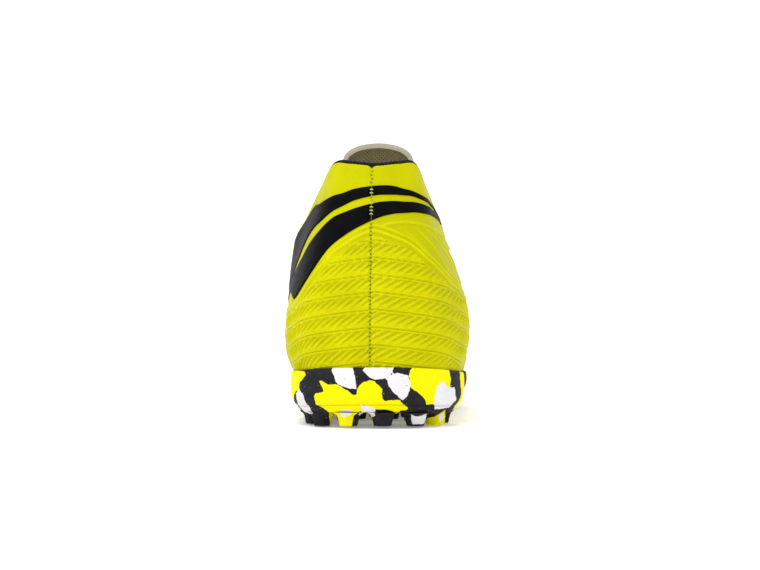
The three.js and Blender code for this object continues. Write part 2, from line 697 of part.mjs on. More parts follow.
const LACE_BEND = 2; // radius of the lace's middle line where it turns through an eyelet
const BEND_STEPS = 3;
const OVER = -GAP - EYESTAY_THICKNESS - LACE_REST - LACE_THICKNESS / 2;
const UNDER = QUARTER_LINING[1] + 2 * LACE_REST + LACE_THICKNESS / 2;
const CROSSING = [0.5, 2.3]; // depths at which two strands pass each other
const EYELET_SHARE = 0.5 + (0.5 * (1 - EYELET_ROW)) / TONGUE_REACH; // across the tongue's span
const END_STATION = 14.05; // the lace's ends go under the quarters here, above the top eyelets
const END_PATH = [[0.62, UNDER], [0.86, UNDER], [1.06, UNDER], [1.16, UNDER + 1]];
const AGLET_LENGTH = 14;
const AGLET_RADIUS = 1.3;

// A place over the instep, with the surface's outward normal and the way across to the medial side.
function throatFrame(u, t) {
  const across = throatPoint(u, t + 0.02).sub(throatPoint(u, t - 0.02)).normalize();
  const up = throatPoint(u - 0.1, t).sub(throatPoint(u + 0.1, t));
  return { point: throatPoint(u, t), normal: up.cross(across).normalize(), across };
}

// The lace is a list of places: the middle of its section and the way one of its flat faces looks.
function restingPlace(u, t, depth, facing) {
  const { point, normal } = throatFrame(u, t);
  return { middle: point.addScaledVector(normal, -depth), face: normal.multiplyScalar(facing) };
}

// Half turn through an eyelet, from under the quarter to over it.
function eyeletTurn(u, side, facing) {
  const { point, normal, across } = throatFrame(u, side * EYELET_SHARE);
  const inward = across.multiplyScalar(-side);
  const place = (angle, upper) => {
    const [sin, cos] = [Math.sin(angle), Math.cos(angle)];
    const depth = upper ? OVER + LACE_BEND * (1 + cos) : UNDER - LACE_BEND * (1 - cos);
    const middle = point
      .clone()
      .addScaledVector(inward, LACE_BEND * (1 - sin))
      .addScaledVector(normal, -depth);
    const face = inward.clone().multiplyScalar(-sin).addScaledVector(normal, -cos);
    return { middle, face: face.multiplyScalar(facing) };
  };
  const step = Math.PI / 2 / BEND_STEPS;
  const quarter = Array.from({ length: BEND_STEPS + 1 }, (_, i) => i * step);
  return [...quarter.map((a) => place(a, false)), ...quarter.map((a) => place(Math.PI / 2 + a, true))];
}

// One strand from its bottom eyelet to its end; side is -1 for lateral and 1 for medial.
function strand(startSide) {
  const places = [];
  for (let pair = 0; pair < EYELET_PAIRS; pair++) {
    const side = pair % 2 ? -startSide : startSide;
    const facing = pair % 2 ? -1 : 1;
    const u = eyeletStation(pair);
    const next = pair + 1 < EYELET_PAIRS ? eyeletStation(pair + 1) : END_STATION;
    const crossing = CROSSING[side > 0 ? 0 : 1];
    places.push(...eyeletTurn(u, side, facing));
    const path = [[0.5, OVER], [0.3, crossing], [0, crossing], [-0.3, crossing], [-0.5, UNDER]];
    for (const [t, depth] of path) {
      const along = u + (next - u) * (0.5 - t / (2 * EYELET_SHARE));
      places.push(restingPlace(along, t * side, depth, facing));
    }
  }
  const last = EYELET_PAIRS % 2 ? -startSide : startSide;
  const facing = EYELET_PAIRS % 2 ? 1 : -1;
  for (const [t, depth] of END_PATH) places.push(restingPlace(END_STATION, t * last, depth, facing));
  return places;
}

// Flat band through the places.
function band(places) {
  const rings = places.map(({ middle, face }, i) => {
    const before = places[Math.max(0, i - 1)].middle;
    const after = places[Math.min(places.length - 1, i + 1)].middle;
    const forward = after.clone().sub(before).normalize();
    const normal = face.clone().addScaledVector(forward, -face.dot(forward)).normalize();
    const width = forward.cross(normal);
    const corner = (w, n) =>
      middle
        .clone()
        .addScaledVector(width, (w * LACE_WIDTH) / 2)
        .addScaledVector(normal, (n * LACE_THICKNESS) / 2);
    return [corner(-1, -1), corner(1, -1), corner(1, 1), corner(-1, 1)];
  });
  return ringSolid(rings, ladderCap(4));
}

// Both strands, joined by the bar under the bottom pair of eyelets.
function lacePlaces() {
  const bar = [-0.3, 0, 0.3].map((t) => restingPlace(eyeletStation(0), t, UNDER, -1));
  return [...strand(-1).reverse(), ...bar, ...strand(1)];
}

// Tube crimped on the end that follows the last two places.
function aglet([before, last]) {
  const direction = last.middle.clone().sub(before.middle).normalize();
  const geometry = new THREE.CylinderGeometry(AGLET_RADIUS, AGLET_RADIUS, AGLET_LENGTH, 10);
  const turn = new THREE.Quaternion().setFromUnitVectors(new THREE.Vector3(0, 1, 0), direction);
  geometry.applyQuaternion(turn);
  const middle = last.middle.clone().addScaledVector(direction, GAP + AGLET_LENGTH / 2);
  return geometry.translate(...middle.toArray());
}

add("lace", band(lacePlaces()), finish(BLACK, 0.9));
add("aglet_lateral", aglet(strand(-1).slice(-2)), finish(BLACK, 0.3));
add("aglet_medial", aglet(strand(1).slice(-2)), finish(BLACK, 0.3));

const bounds = new THREE.Box3().setFromObject(shoe);
const centre = bounds.getCenter(new THREE.Vector3());
shoe.position.set(-centre.x, -centre.y, -bounds.min.z);

export default shoe;
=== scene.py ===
"""Looks of a left turf football shoe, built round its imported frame.

Shapes are worked out in the part's design frame: millimetres, heel back at y = 0, toes towards +Y,
the inner (medial) side towards +X. make() moves them into the row frame, in metres.
"""
import math

import bpy
import numpy as np
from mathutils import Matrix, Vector


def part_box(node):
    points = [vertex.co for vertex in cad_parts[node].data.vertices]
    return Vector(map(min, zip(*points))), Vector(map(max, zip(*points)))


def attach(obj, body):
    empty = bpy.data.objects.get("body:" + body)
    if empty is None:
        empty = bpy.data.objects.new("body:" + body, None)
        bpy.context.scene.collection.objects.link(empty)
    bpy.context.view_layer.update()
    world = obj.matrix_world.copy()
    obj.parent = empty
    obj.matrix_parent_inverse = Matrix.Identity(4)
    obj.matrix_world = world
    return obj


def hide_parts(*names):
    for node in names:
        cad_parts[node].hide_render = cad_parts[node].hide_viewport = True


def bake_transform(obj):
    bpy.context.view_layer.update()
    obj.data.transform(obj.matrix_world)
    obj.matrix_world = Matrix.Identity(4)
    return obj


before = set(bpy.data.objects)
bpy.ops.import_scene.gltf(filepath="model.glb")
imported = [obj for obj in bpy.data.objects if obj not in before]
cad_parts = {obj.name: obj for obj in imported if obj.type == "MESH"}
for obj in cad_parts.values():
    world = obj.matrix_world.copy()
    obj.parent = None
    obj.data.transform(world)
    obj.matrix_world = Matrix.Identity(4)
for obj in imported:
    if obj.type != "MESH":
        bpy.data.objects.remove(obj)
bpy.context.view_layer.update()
rng = np.random.default_rng(7)

# ---- Driving dimensions, the same as the part's ----

LOOP = 64
THROAT_BASE = 20
TOP_EYELET = 14
STUD_HEIGHT = 4.7
OUTSOLE_THICKNESS = 2.6
FEATHER_INSET = 3.4
GAP = 0.3
SKIN = 1.4
EYESTAY_THICKNESS = 0.9
LINING = (3.2, 4.0)
QUARTER_LINING = (1.7, 2.5)
FOAM_SWELL = 5.2
EYELET_PAIRS = 6
EYELET_RADIUS = 2.5
EYELET_ROW = 0.905
COLLAR_END = 12.9

# station, sole x, y, top x, y, z, foot angle, foot pull, top angle, top pull
STATIONS = np.array([
    [0, 0, 0, 0, 10.5, 100.6, 66, 0.9, 88, 0.9],
    [2, -14, 2, -9.5, 12, 101.6, 67, 0.9, 87, 0.9],
    [4, -26, 9.5, -16.6, 17.5, 102.2, 68, 0.95, 85, 0.85],
    [6, -32.6, 22.5, -22, 29, 95, 66, 1.0, 79, 0.9],
    [8, -34.9, 39, -29, 44, 84.3, 64, 1.15, 82, 1.0],
    [10, -35.6, 58, -34, 62, 79.5, 69, 0.95, 80, 1.15],
    [12, -36, 78, -31.6, 84, 83, 64, 1.2, 78, 1.0],
    [14, -37, 98, -18.5, 109, 97, 61, 1.35, 54, 1.0],
    [16, -39.3, 118, -14.5, 132, 88.5, 58, 1.5, 38, 1.05],
    [18, -41.9, 139, -12.5, 157, 78.2, 57, 1.6, 28, 1.1],
    [20, -44.4, 160, -9.5, 181, 69.2, 58, 1.6, 20, 1.1],
    [22, -45.8, 181, -6.5, 188, 66.6, 61, 1.5, 14, 1.15],
    [24, -45.3, 203, -4.5, 190, 66, 66, 1.35, 13, 1.1],
    [26, -42.7, 226, -2.8, 191, 65.7, 71, 1.1, 15, 1.05],
    [28, -39, 249, -1.2, 191.5, 65.6, 75, 0.9, 18, 0.95],
    [30, -27, 276.5, 0, 191.7, 65.5, 77, 0.85, 21, 0.85],
    [32, 4, 290, 1, 191.8, 65.5, 78, 0.85, 22, 0.82],
    [34, 34, 276.5, 2, 191.7, 65.5, 77, 0.85, 21, 0.85],
    [36, 45, 249, 3.2, 191.5, 65.6, 75, 0.9, 18, 0.95],
    [38, 49, 226, 4.6, 191, 65.7, 71, 1.1, 15, 1.05],
    [40, 50.6, 203, 6.2, 190, 66, 68, 1.25, 13, 1.1],
    [42, 49.2, 181, 8.2, 188, 66.6, 66, 1.35, 14, 1.15],
    [44, 45.2, 160, 11, 181, 69.2, 62, 1.45, 20, 1.1],
    [46, 40.5, 139, 13.5, 157, 78.2, 58, 1.5, 28, 1.1],
    [48, 36.5, 118, 15, 132, 88.5, 56, 1.45, 38, 1.05],
    [50, 35.4, 98, 18.5, 109, 97, 55, 1.4, 54, 1.0],
    [52, 35.4, 78, 27, 84, 85, 57, 1.35, 68, 1.0],
    [54, 36, 58, 29, 62, 82, 60, 1.25, 75, 1.0],
    [56, 36.4, 39, 25.5, 44, 86.5, 61, 1.2, 76, 0.95],
    [58, 33.3, 22.5, 20.4, 29, 95.2, 66, 1.0, 78, 0.9],
    [60, 26, 9.5, 16, 17.5, 102.2, 69, 0.9, 84, 0.9],
    [62, 14, 2, 9, 12, 101.6, 67, 0.9, 87, 0.9],
])

# y, underside of the plate, bottom of the foot's recess, top of the rim
SOLE_HEIGHTS = np.array([
    [0, 6, 19.3, 23.2],
    [20, 4.7, 18.6, 21.6],
    [60, 4.7, 17.4, 20.3],
    [110, 4.7, 16.4, 19.6],
    [160, 4.7, 14.8, 18.8],
    [205, 4.7, 13.6, 18.2],
    [240, 6.6, 14.5, 19.6],
    [270, 11, 17.6, 23.8],
    [290, 15.5, 21.2, 28],
])


# ---- Interpolation ----

def hermite(t, start, start_slope, end, end_slope):
    t2, t3 = t * t, t * t * t
    return ((2 * t3 - 3 * t2 + 1) * start + (t3 - 2 * t2 + t) * start_slope
            + (3 * t2 - 2 * t3) * end + (t3 - t2) * end_slope)


def interpolate(rows, at, period=0):
    """Smooth curve through rows of (key, value, ...), at an array of places."""
    at = np.asarray(at, float)
    keys, values, n = rows[:, 0], rows[:, 1:], len(rows)
    key = np.mod(at, period) if period else at
    i = np.searchsorted(keys, key, "right") - 1
    if not period:
        i = np.clip(i, 0, n - 2)

    def row(k):
        turn = np.floor_divide(k, n) if period else 0
        k = k - turn * n if period else np.clip(k, 0, n - 1)
        return keys[k] + turn * period, values[k]

    (k0, v0), (k1, v1), (k2, v2), (k3, v3) = row(i - 1), row(i), row(i + 1), row(i + 2)
    step = k2 - k1
    t = np.clip((key - k1) / step, 0, 1)[..., None]
    slope0 = (v2 - v0) * (step / np.maximum(1e-9, k2 - k0))[..., None]
    slope1 = (v3 - v1) * (step / np.maximum(1e-9, k3 - k1))[..., None]
    return hermite(t, v1, slope0, v2, slope1)


def smooth(x):
    t = np.clip(x, 0, 1)
    return t * t * (3 - 2 * t)


def unit(v):
    return v / np.maximum(1e-12, np.linalg.norm(v, axis=-1, keepdims=True))


# ---- The shoe's outer surface ----

def station(u):
    return interpolate(STATIONS, u, LOOP)


def sole_heights(y):
    """Plate, floor and rim heights at y."""
    plate, floor, rim = np.moveaxis(interpolate(SOLE_HEIGHTS, y), -1, 0)
    return np.maximum(STUD_HEIGHT, plate), floor, rim


def outline_normal(u):
    a, b = station(u - 0.25), station(u + 0.25)
    return unit(np.stack([a[..., 1] - b[..., 1], b[..., 0] - a[..., 0]], -1))


def outline(u, inset=0.0):
    """x, y of the sole's edge, moved in by inset."""
    return station(u)[..., :2] - outline_normal(u) * np.asarray(inset)[..., None]


def wall(u, v):
    """Point of the upper's outer surface: v runs from the foot (0) to the top line (1)."""
    u, v = np.broadcast_arrays(np.asarray(u, float), np.asarray(v, float))
    s = station(u)
    out = outline_normal(u)
    xy = s[..., :2] - out * FEATHER_INSET
    foot = np.concatenate([xy, sole_heights(s[..., 1])[1][..., None] + GAP], -1)
    top = s[..., 2:5]
    chord = np.linalg.norm(top - foot, axis=-1)
    inward = unit(top[..., :2] - foot[..., :2] - 12 * out)
    a0, a1 = np.radians(s[..., 5]), np.radians(s[..., 7])
    k0, k1 = s[..., 6] * chord, s[..., 8] * chord
    d0 = np.concatenate([(k0 * np.cos(a0))[..., None] * out, (k0 * np.sin(a0))[..., None]], -1)
    d1 = np.concatenate([(k1 * np.cos(a1))[..., None] * inward, (k1 * np.sin(a1))[..., None]], -1)
    return hermite(v[..., None], foot, d0, top, d1)


def wall_normal(u, v):
    along_u = wall(u + 0.1, v) - wall(u - 0.1, v)
    along_v = wall(u, v + 0.01) - wall(u, v - 0.01)
    return unit(np.cross(along_v, along_u))


def wall_depth(u, v, depth):
    """Point at a depth below the outer surface; a negative depth stands proud of it."""
    u, v, depth = np.broadcast_arrays(*(np.asarray(x, float) for x in (u, v, depth)))
    return wall(u, v) - wall_normal(u, v) * depth[..., None]


def wall_height(u, v):
    """Distance along the wall from its foot, in mm, near enough for patterns."""
    chord = np.linalg.norm(wall(u, 1.0) - wall(u, 0.0), axis=-1)
    return v * chord * 1.08


ARC_U = np.linspace(-24, 24, 193)
ARC_MM = np.concatenate([[0], np.cumsum(np.linalg.norm(np.diff(wall(ARC_U, 0.45), axis=0), axis=-1))])
ARC_MM -= np.interp(0, ARC_U, ARC_MM)


def round_heel(u):
    """Distance round the heel from the back seam in mm, positive on the medial side."""
    signed = np.where(np.asarray(u) > LOOP / 2, np.asarray(u) - LOOP, u)
    return -np.interp(signed, ARC_U, ARC_MM)


# ---- Meshes ----

SHARP_ANGLE = 55  # degrees between two faces above which their shared edge is shaded as sharp

low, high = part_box("midsole")
around = station(np.arange(LOOP))[:, :2]
SHIFT = np.array([
    (low[0] + high[0]) * 500 - (around[:, 0].min() + around[:, 0].max()) / 2,
    (low[1] + high[1]) * 500 - (around[:, 1].min() + around[:, 1].max()) / 2,
    0,
])


def to_row(points):
    return (np.asarray(points, float) + SHIFT) / 1000


def make(name, points, faces, material, replaces=(), slot=None, lay=None, body="shoe"):
    """A piece from design-frame points. lay gives each point two weave coordinates in mm."""
    mesh = bpy.data.meshes.new(name)
    mesh.from_pydata(to_row(points).tolist(), [], [list(map(int, f)) for f in faces])
    mesh.validate()
    piece = bpy.data.objects.new(name, mesh)
    bpy.context.scene.collection.objects.link(piece)
    for m in material if isinstance(material, (list, tuple)) else [material]:
        mesh.materials.append(m)
    mesh.polygons.foreach_set("use_smooth", [True] * len(mesh.polygons))
    mesh.set_sharp_from_angle(angle=math.radians(SHARP_ANGLE))
    if lay is not None:
        attribute = mesh.attributes.new("lay", "FLOAT_VECTOR", "POINT")
        packed = np.zeros((len(mesh.vertices), 3))
        packed[:, :2] = np.asarray(lay).reshape(-1, 2)
        attribute.data.foreach_set("vector", packed.ravel())
    if body:
        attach(piece, body)
    if replaces:
        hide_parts(*replaces)
    return piece


def grid_quads(n, m, wrap=False):
    """Quads of an n by m grid of points, turned so that (second way) x (first way) points out."""
    i, j = np.meshgrid(np.arange(n if wrap else n - 1), np.arange(m - 1), indexing="ij")
    k = (i + 1) % n
    return np.stack([i * m + j, i * m + j + 1, k * m + j + 1, k * m + j], -1).reshape(-1, 4)


def shell(outer, inner, step=1, cut=None):
    """Closed sheet between two n by m grids of points. The inner grid keeps only every step-th line.

    cut marks the cells that are left out, such as those inside a hole.
    Returns points, faces and, for each point, its index in the grid.
    """
    n, m = outer.shape[:2]
    if cut is None:
        cut = np.zeros((n - 1, m - 1), bool)
    outer_quads = grid_quads(n, m)[~cut.ravel()]
    edges = np.concatenate([outer_quads[:, [k, (k + 1) % 4]] for k in range(4)])
    size = n * m
    rim = edges[~np.isin(edges[:, 0] * size + edges[:, 1], edges[:, 1] * size + edges[:, 0])]
    present = np.zeros((n, m), bool)
    lines_i = sorted({*range(0, n - 1, step), n - 1})
    lines_j = sorted({*range(0, m - 1, step), m - 1})
    present[np.ix_(lines_i, lines_j)] = True
    present[[0, -1], :] = True
    present[:, [0, -1]] = True
    blocks = []
    for i0, i1 in zip(lines_i, lines_i[1:]):
        for j0, j1 in zip(lines_j, lines_j[1:]):
            fine = cut[i0:i1, j0:j1].any()
            blocks.append((i0, i1, j0, j1, fine))
            if fine:
                present[i0:i1 + 1, j0:j1 + 1] = True
    inner_faces = []
    for i0, i1, j0, j1, fine in blocks:
        if fine:
            inner_faces += [
                (i * m + j, (i + 1) * m + j, (i + 1) * m + j + 1, i * m + j + 1)
                for i in range(i0, i1) for j in range(j0, j1) if not cut[i, j]
            ]
            continue
        walk = ([(i, j0) for i in range(i0, i1)] + [(i1, j) for j in range(j0, j1)]
                + [(i, j1) for i in range(i1, i0, -1)] + [(i0, j) for j in range(j1, j0, -1)])
        inner_faces.append([i * m + j for i, j in walk if present[i, j]])
    walls = np.stack([rim[:, 1], rim[:, 0], rim[:, 0] + size, rim[:, 1] + size], -1)
    faces = outer_quads.tolist() + [[k + size for k in f] for f in inner_faces] + walls.tolist()
    points = np.concatenate([outer.reshape(-1, 3), inner.reshape(-1, 3)])
    used = np.zeros(2 * size, bool)
    for f in faces:
        used[f] = True
    new_index = np.cumsum(used) - 1
    return points[used], [[new_index[k] for k in f] for f in faces], np.nonzero(used)[0] % size


def tube_points(path, normals, section):
    """Rings of a section (pairs of sideways, upward mm) along a path; returns an n by m by 3 array."""
    forward = unit(np.gradient(path, axis=0))
    up = unit(normals - (normals * forward).sum(-1, keepdims=True) * forward)
    side = np.cross(forward, up)
    return (path[:, None] + side[:, None] * section[None, :, :1] + up[:, None] * section[None, :, 1:])


def closed_tube(rings):
    """Faces for rings of points joined round, with both ends filled."""
    n, m = rings.shape[:2]
    faces = []
    for i in range(n - 1):
        for j in range(m):
            k = (j + 1) % m
            faces.append((i * m + j, i * m + k, (i + 1) * m + k, (i + 1) * m + j))
    faces.append(list(range(m))[::-1])
    faces.append([(n - 1) * m + j for j in range(m)])
    return faces


def merged(parts):
    """Points and faces of several solids as one list of each."""
    points, faces, start = [], [], 0
    for p, f in parts:
        points.append(np.asarray(p, float).reshape(-1, 3))
        faces += [[k + start for k in face] for face in f]
        start += len(points[-1])
    return np.concatenate(points), faces


# ---- Materials ----

class Look:
    """A node material, built up with short calls."""

    def __init__(self, name, roughness=0.6, sheen=0.0, coat=0.0, specular=0.08):
        self.material = bpy.data.materials.new(name)
        self.material.use_nodes = True
        self.tree = self.material.node_tree
        self.shader = next(n for n in self.tree.nodes if n.type == "BSDF_PRINCIPLED")
        self.shader.inputs["Roughness"].default_value = roughness
        self.shader.inputs["Specular IOR Level"].default_value = specular
        self.shader.inputs["Sheen Weight"].default_value = sheen
        self.shader.inputs["Coat Weight"].default_value = coat
        self.normal = None

    def node(self, kind, settings=(), **values):
        made = self.tree.nodes.new(kind)
        for key, value in dict(settings).items():
            setattr(made, key, value)
        for key, value in values.items():
            self.put(made.inputs[key.replace("_", " ")], value)
        return made

    def put(self, socket, value):
        if isinstance(value, bpy.types.NodeSocket):
            self.tree.links.new(value, socket)
        else:
            socket.default_value = value

    def math(self, operation, a, b=0.0, clamp=False):
        made = self.tree.nodes.new("ShaderNodeMath")
        made.operation = operation
        made.use_clamp = clamp
        self.put(made.inputs[0], a)
        self.put(made.inputs[1], b)
        return made.outputs[0]

    def place(self, lay=False):
        """Position in mm: along the weave if lay, otherwise in the object."""
        if lay:
            return self.node("ShaderNodeAttribute", {"attribute_name": "lay"}).outputs["Vector"]
        source = self.node("ShaderNodeTexCoord").outputs["Object"]
        scaled = self.node("ShaderNodeVectorMath", {"operation": "SCALE"}, Scale=1000.0)
        self.put(scaled.inputs[0], source)
        return scaled.outputs[0]

    def noise(self, place, size, detail=3.0):
        """Noise from 0 to 1 whose features are about size mm."""
        made = self.node("ShaderNodeTexNoise", Vector=place, Scale=1 / size, Detail=detail)
        return made.outputs[0]

    def axes(self, place):
        return self.node("ShaderNodeSeparateXYZ", Vector=place).outputs

    def wave(self, value, pitch):
        """Sine of a length in mm with the given pitch, from 0 to 1."""
        turned = self.math("SINE", self.math("MULTIPLY", value, 2 * math.pi / pitch))
        return self.math("ADD", self.math("MULTIPLY", turned, 0.5), 0.5)

    def ramp(self, value, low, high):
        made = self.node("ShaderNodeMapRange", {"interpolation_type": "SMOOTHSTEP"}, Value=value)
        made.inputs["From Min"].default_value = low
        made.inputs["From Max"].default_value = high
        return made.outputs[0]

    def mix(self, share, a, b):
        made = self.node("ShaderNodeMix", {"data_type": "RGBA"})
        self.put(made.inputs[0], share)
        for socket, value in ((made.inputs[6], a), (made.inputs[7], b)):
            self.put(socket, (*value, 1.0) if isinstance(value, tuple) else value)
        return made.outputs[2]

    def colour(self, value):
        self.put(self.shader.inputs["Base Color"], value)

    def rough(self, value, low, high):
        """Roughness from low to high as value goes from 0 to 1."""
        made = self.node("ShaderNodeMapRange", Value=value)
        made.inputs["To Min"].default_value = low
        made.inputs["To Max"].default_value = high
        self.put(self.shader.inputs["Roughness"], made.outputs[0])

    def bump(self, height, millimetres, strength=1.0):
        made = self.node("ShaderNodeBump", Height=height, Strength=strength)
        made.inputs["Distance"].default_value = millimetres / 1000
        if self.normal:
            self.put(made.inputs["Normal"], self.normal)
        self.normal = made.outputs[0]
        self.put(self.shader.inputs["Normal"], self.normal)


def coated_synthetic(name, pale, deep, roughness, relief=False):
    """Moulded polyurethane skin: fine pebble grain, slight mottling, gloss varying with handling.

    With relief, shade is painted into the grooves between the moulded ridges: they take the deep colour and
    the raised ridges the pale one.
    """
    look = Look(name, roughness, specular=0.035)
    place = look.place()
    mottle = look.noise(place, 14, 4)
    if relief:
        # painted shade: the raised share lightens the ridges and leaves the grooves in the deep colour,
        # over the random mottling
        raised = look.node("ShaderNodeAttribute", {"attribute_name": "relief"}).outputs["Fac"]
        mottle = look.math("SUBTRACT", look.math("ADD", mottle, 0.55), raised, clamp=True)
    look.colour(look.mix(mottle, pale, deep))
    look.rough(look.noise(place, 5), roughness - 0.06, roughness + 0.1)
    look.bump(look.noise(place, 0.35, 2), 0.035)
    look.bump(look.noise(place, 1.6, 2), 0.06)
    return look.material


def film(name):
    """Black welded film with a faint leather grain."""
    look = Look(name, 0.42, specular=0.025)
    place = look.place()
    cells = look.node("ShaderNodeTexVoronoi", {"feature": "DISTANCE_TO_EDGE"}, Vector=place, Scale=1 / 0.55)
    crease = look.ramp(cells.outputs["Distance"], 0.0, 0.12)
    look.colour(look.mix(look.noise(place, 3), (0.0012, 0.0012, 0.0014), (0.004, 0.004, 0.0046)))
    look.rough(look.noise(place, 2), 0.36, 0.52)
    look.bump(crease, 0.03)
    return look.material


def knit(name, dark, pale, pitch, rib=0.0):
    """Jersey knit: columns of V-shaped loops, with a rib if wanted."""
    look = Look(name, 0.92, sheen=0.08)
    place = look.place(lay=True)
    along, across, _ = look.axes(place)
    row = look.wave(across, pitch)
    lean = look.math("MULTIPLY", look.wave(along, pitch * 1.3), 0.5)
    loop = look.wave(look.math("ADD", across, look.math("MULTIPLY", lean, pitch)), pitch)
    column = look.wave(along, pitch * 1.3)
    height = look.math("MULTIPLY", loop, column)
    fuzz = look.noise(look.place(), 0.25, 3)
    look.colour(look.mix(look.math("MULTIPLY", height, fuzz), dark, pale))
    look.bump(height, pitch * 0.35)
    look.bump(fuzz, 0.05)
    if rib:
        look.bump(row, rib)
    return look.material


def woven(name, dark, pale, pitch, roughness=0.85):
    """Plain weave of round yarns."""
    look = Look(name, roughness, sheen=0.25)
    along, across, _ = look.axes(look.place(lay=True))
    warp = look.wave(along, pitch)
    weft = look.wave(across, pitch)
    over = look.math("GREATER_THAN", look.wave(look.math("ADD", along, across), 2 * pitch), 0.5)
    height = look.math("MAXIMUM", look.math("MULTIPLY", warp, over),
                       look.math("MULTIPLY", weft, look.math("SUBTRACT", 1.0, over)))
    look.colour(look.mix(height, dark, pale))
    look.bump(height, pitch * 0.3)
    look.bump(look.noise(look.place(), 0.3), 0.04)
    return look.material


def spacer_mesh(name, yarn, hole, pitch):
    """Open warp-knit mesh: round holes in staggered rows."""
    look = Look(name, 0.9, sheen=0.4)
    along, across, _ = look.axes(look.place(lay=True))
    first = look.math("MULTIPLY", look.wave(along, pitch), look.wave(across, pitch))
    half = pitch / 2
    second = look.math("MULTIPLY", look.wave(look.math("ADD", along, half), pitch),
                       look.wave(look.math("ADD", across, half), pitch))
    pore = look.ramp(look.math("MAXIMUM", first, second), 0.45, 0.75)
    mottle = look.noise(look.place(), 4)
    worn = look.mix(mottle, yarn, tuple(0.72 * c for c in yarn))
    look.colour(look.mix(pore, worn, hole))
    look.bump(look.math("SUBTRACT", 1.0, pore), 0.3)
    look.bump(look.noise(look.place(), 0.25), 0.06)
    return look.material


def pressed_sheet(name, pale, deep):
    """Stiff pressed board or sheet with fibres."""
    look = Look(name, 0.9)
    place = look.place()
    stretched = look.node("ShaderNodeMapping", Vector=place, Scale=(1.0, 0.15, 1.0)).outputs[0]
    fibres = look.noise(stretched, 0.6, 5)
    look.colour(look.mix(fibres, pale, deep))
    look.rough(fibres, 0.8, 0.98)
    look.bump(fibres, 0.08)
    return look.material


def camouflage(name, grain):
    """Crisp yellow and white patches on black, from the mesh's "camo" attribute, with fine specks."""
    look = Look(name, 0.62, specular=0.05)
    place = look.place()
    fields = look.node("ShaderNodeAttribute", {"attribute_name": "camo"}).outputs["Vector"]
    white, yellow, _ = look.axes(fields)
    wander = look.math("MULTIPLY", look.math("SUBTRACT", look.noise(place, 5.5, 2), 0.5), 1.6)
    nibble = look.math("MULTIPLY", look.math("SUBTRACT", look.noise(place, 1.3, 4), 0.5), 0.9)
    ragged = look.math("ADD", wander, nibble)
    is_white = look.ramp(look.math("ADD", white, ragged), -0.06, 0.06)
    is_yellow = look.ramp(look.math("ADD", yellow, ragged), -0.06, 0.06)
    mottled_black = look.mix(look.noise(place, 2.5), (0.009, 0.009, 0.011), (0.024, 0.024, 0.028))
    mottled_yellow = look.mix(look.noise(place, 6), (0.72, 0.665, 0.001), (0.79, 0.73, 0.001))
    mottled_white = look.mix(look.noise(place, 6), (0.63, 0.62, 0.64), (0.71, 0.7, 0.72))
    speck = look.ramp(look.noise(place, 0.8, 1), 0.74, 0.78)
    under = look.mix(speck, mottled_black, (0.6, 0.6, 0.62))
    top = look.mix(speck, mottled_white, (0.12, 0.12, 0.1))
    look.colour(look.mix(is_white, look.mix(is_yellow, under, mottled_yellow), top))
    look.rough(look.noise(place, 3), 0.5, 0.75)
    look.bump(look.noise(place, 0.5, 3), grain)
    return look.material


def plain_plastic(name, colour, roughness):
    look = Look(name, roughness, coat=0.3)
    place = look.place()
    look.colour(look.mix(look.noise(place, 1.5), colour, tuple(1.6 * c for c in colour)))
    look.rough(look.noise(place, 0.7, 5), roughness - 0.1, roughness + 0.15)
    look.bump(look.noise(place, 0.4, 4), 0.02)
    return look.material


def thread(name, pale, deep, sheen=0.2):
    """Twisted sewing thread."""
    look = Look(name, 0.6, sheen=sheen)
    along, across, _ = look.axes(look.place(lay=True))
    twist = look.wave(look.math("ADD", along, across), 0.35)
    look.colour(look.mix(twist, deep, pale))
    look.bump(twist, 0.05)
    return look.material


NEON_PALE = (0.595, 0.57, 0.0002)
# deep colour of the random mottling and of the painted shade in the upper's moulded grooves
NEON_MOTTLE_AND_GROOVE_SHADE = (0.42, 0.415, 0.0002)
UPPER = coated_synthetic("upper_skin", NEON_PALE, NEON_MOTTLE_AND_GROOVE_SHADE, 0.44, relief=True)
EYESTAY = coated_synthetic("eyestay_skin", (0.6, 0.578, 0.0003), (0.53, 0.515, 0.0003), 0.36)
STRIPE = film("stripe_film")
COLLAR = knit("collar_knit", (0.001, 0.001, 0.0012), (0.009, 0.009, 0.01), 1.0, rib=0.1)
LINING_CLOTH = woven("lining_cloth", (0.004, 0.004, 0.005), (0.03, 0.03, 0.033), 0.9)
SOCKLINER_CLOTH = knit("sockliner_cloth", (0.006, 0.006, 0.007), (0.035, 0.035, 0.038), 1.2)
TONGUE_FACE = coated_synthetic("tongue_face", (0.36, 0.335, 0.26), (0.28, 0.255, 0.195), 0.5)
TONGUE_LINING = spacer_mesh("tongue_lining", (0.19, 0.155, 0.058), (0.065, 0.052, 0.02), 1.7)
MIDSOLE = camouflage("midsole_camouflage", 0.05)
OUTSOLE = camouflage("outsole_camouflage", 0.03)
LACE = woven("lace_weave", (0.005, 0.005, 0.006), (0.045, 0.045, 0.05), 0.6)
AGLET = plain_plastic("aglet_plastic", (0.012, 0.012, 0.013), 0.25)
PALE_THREAD = thread("pale_thread", (0.42, 0.62, 0.16), (0.34, 0.52, 0.12))
NEON_THREAD = thread("neon_thread", (0.62, 0.62, 0.002), (0.5, 0.5, 0.002))
# darkened neon, the colour of the shade inside the seam's needle holes: painted shade
NEEDLE_HOLE_SHADE = thread("needle_hole_shade", (0.16, 0.16, 0.001), (0.1, 0.1, 0.001), 0.0)
BOARD = pressed_sheet("strobel_board", (0.62, 0.6, 0.55), (0.45, 0.43, 0.38))
STIFF_SHEET = pressed_sheet("stiffener_sheet", (0.55, 0.54, 0.5), (0.42, 0.41, 0.38))


# ---- Heel bands and embossing ----

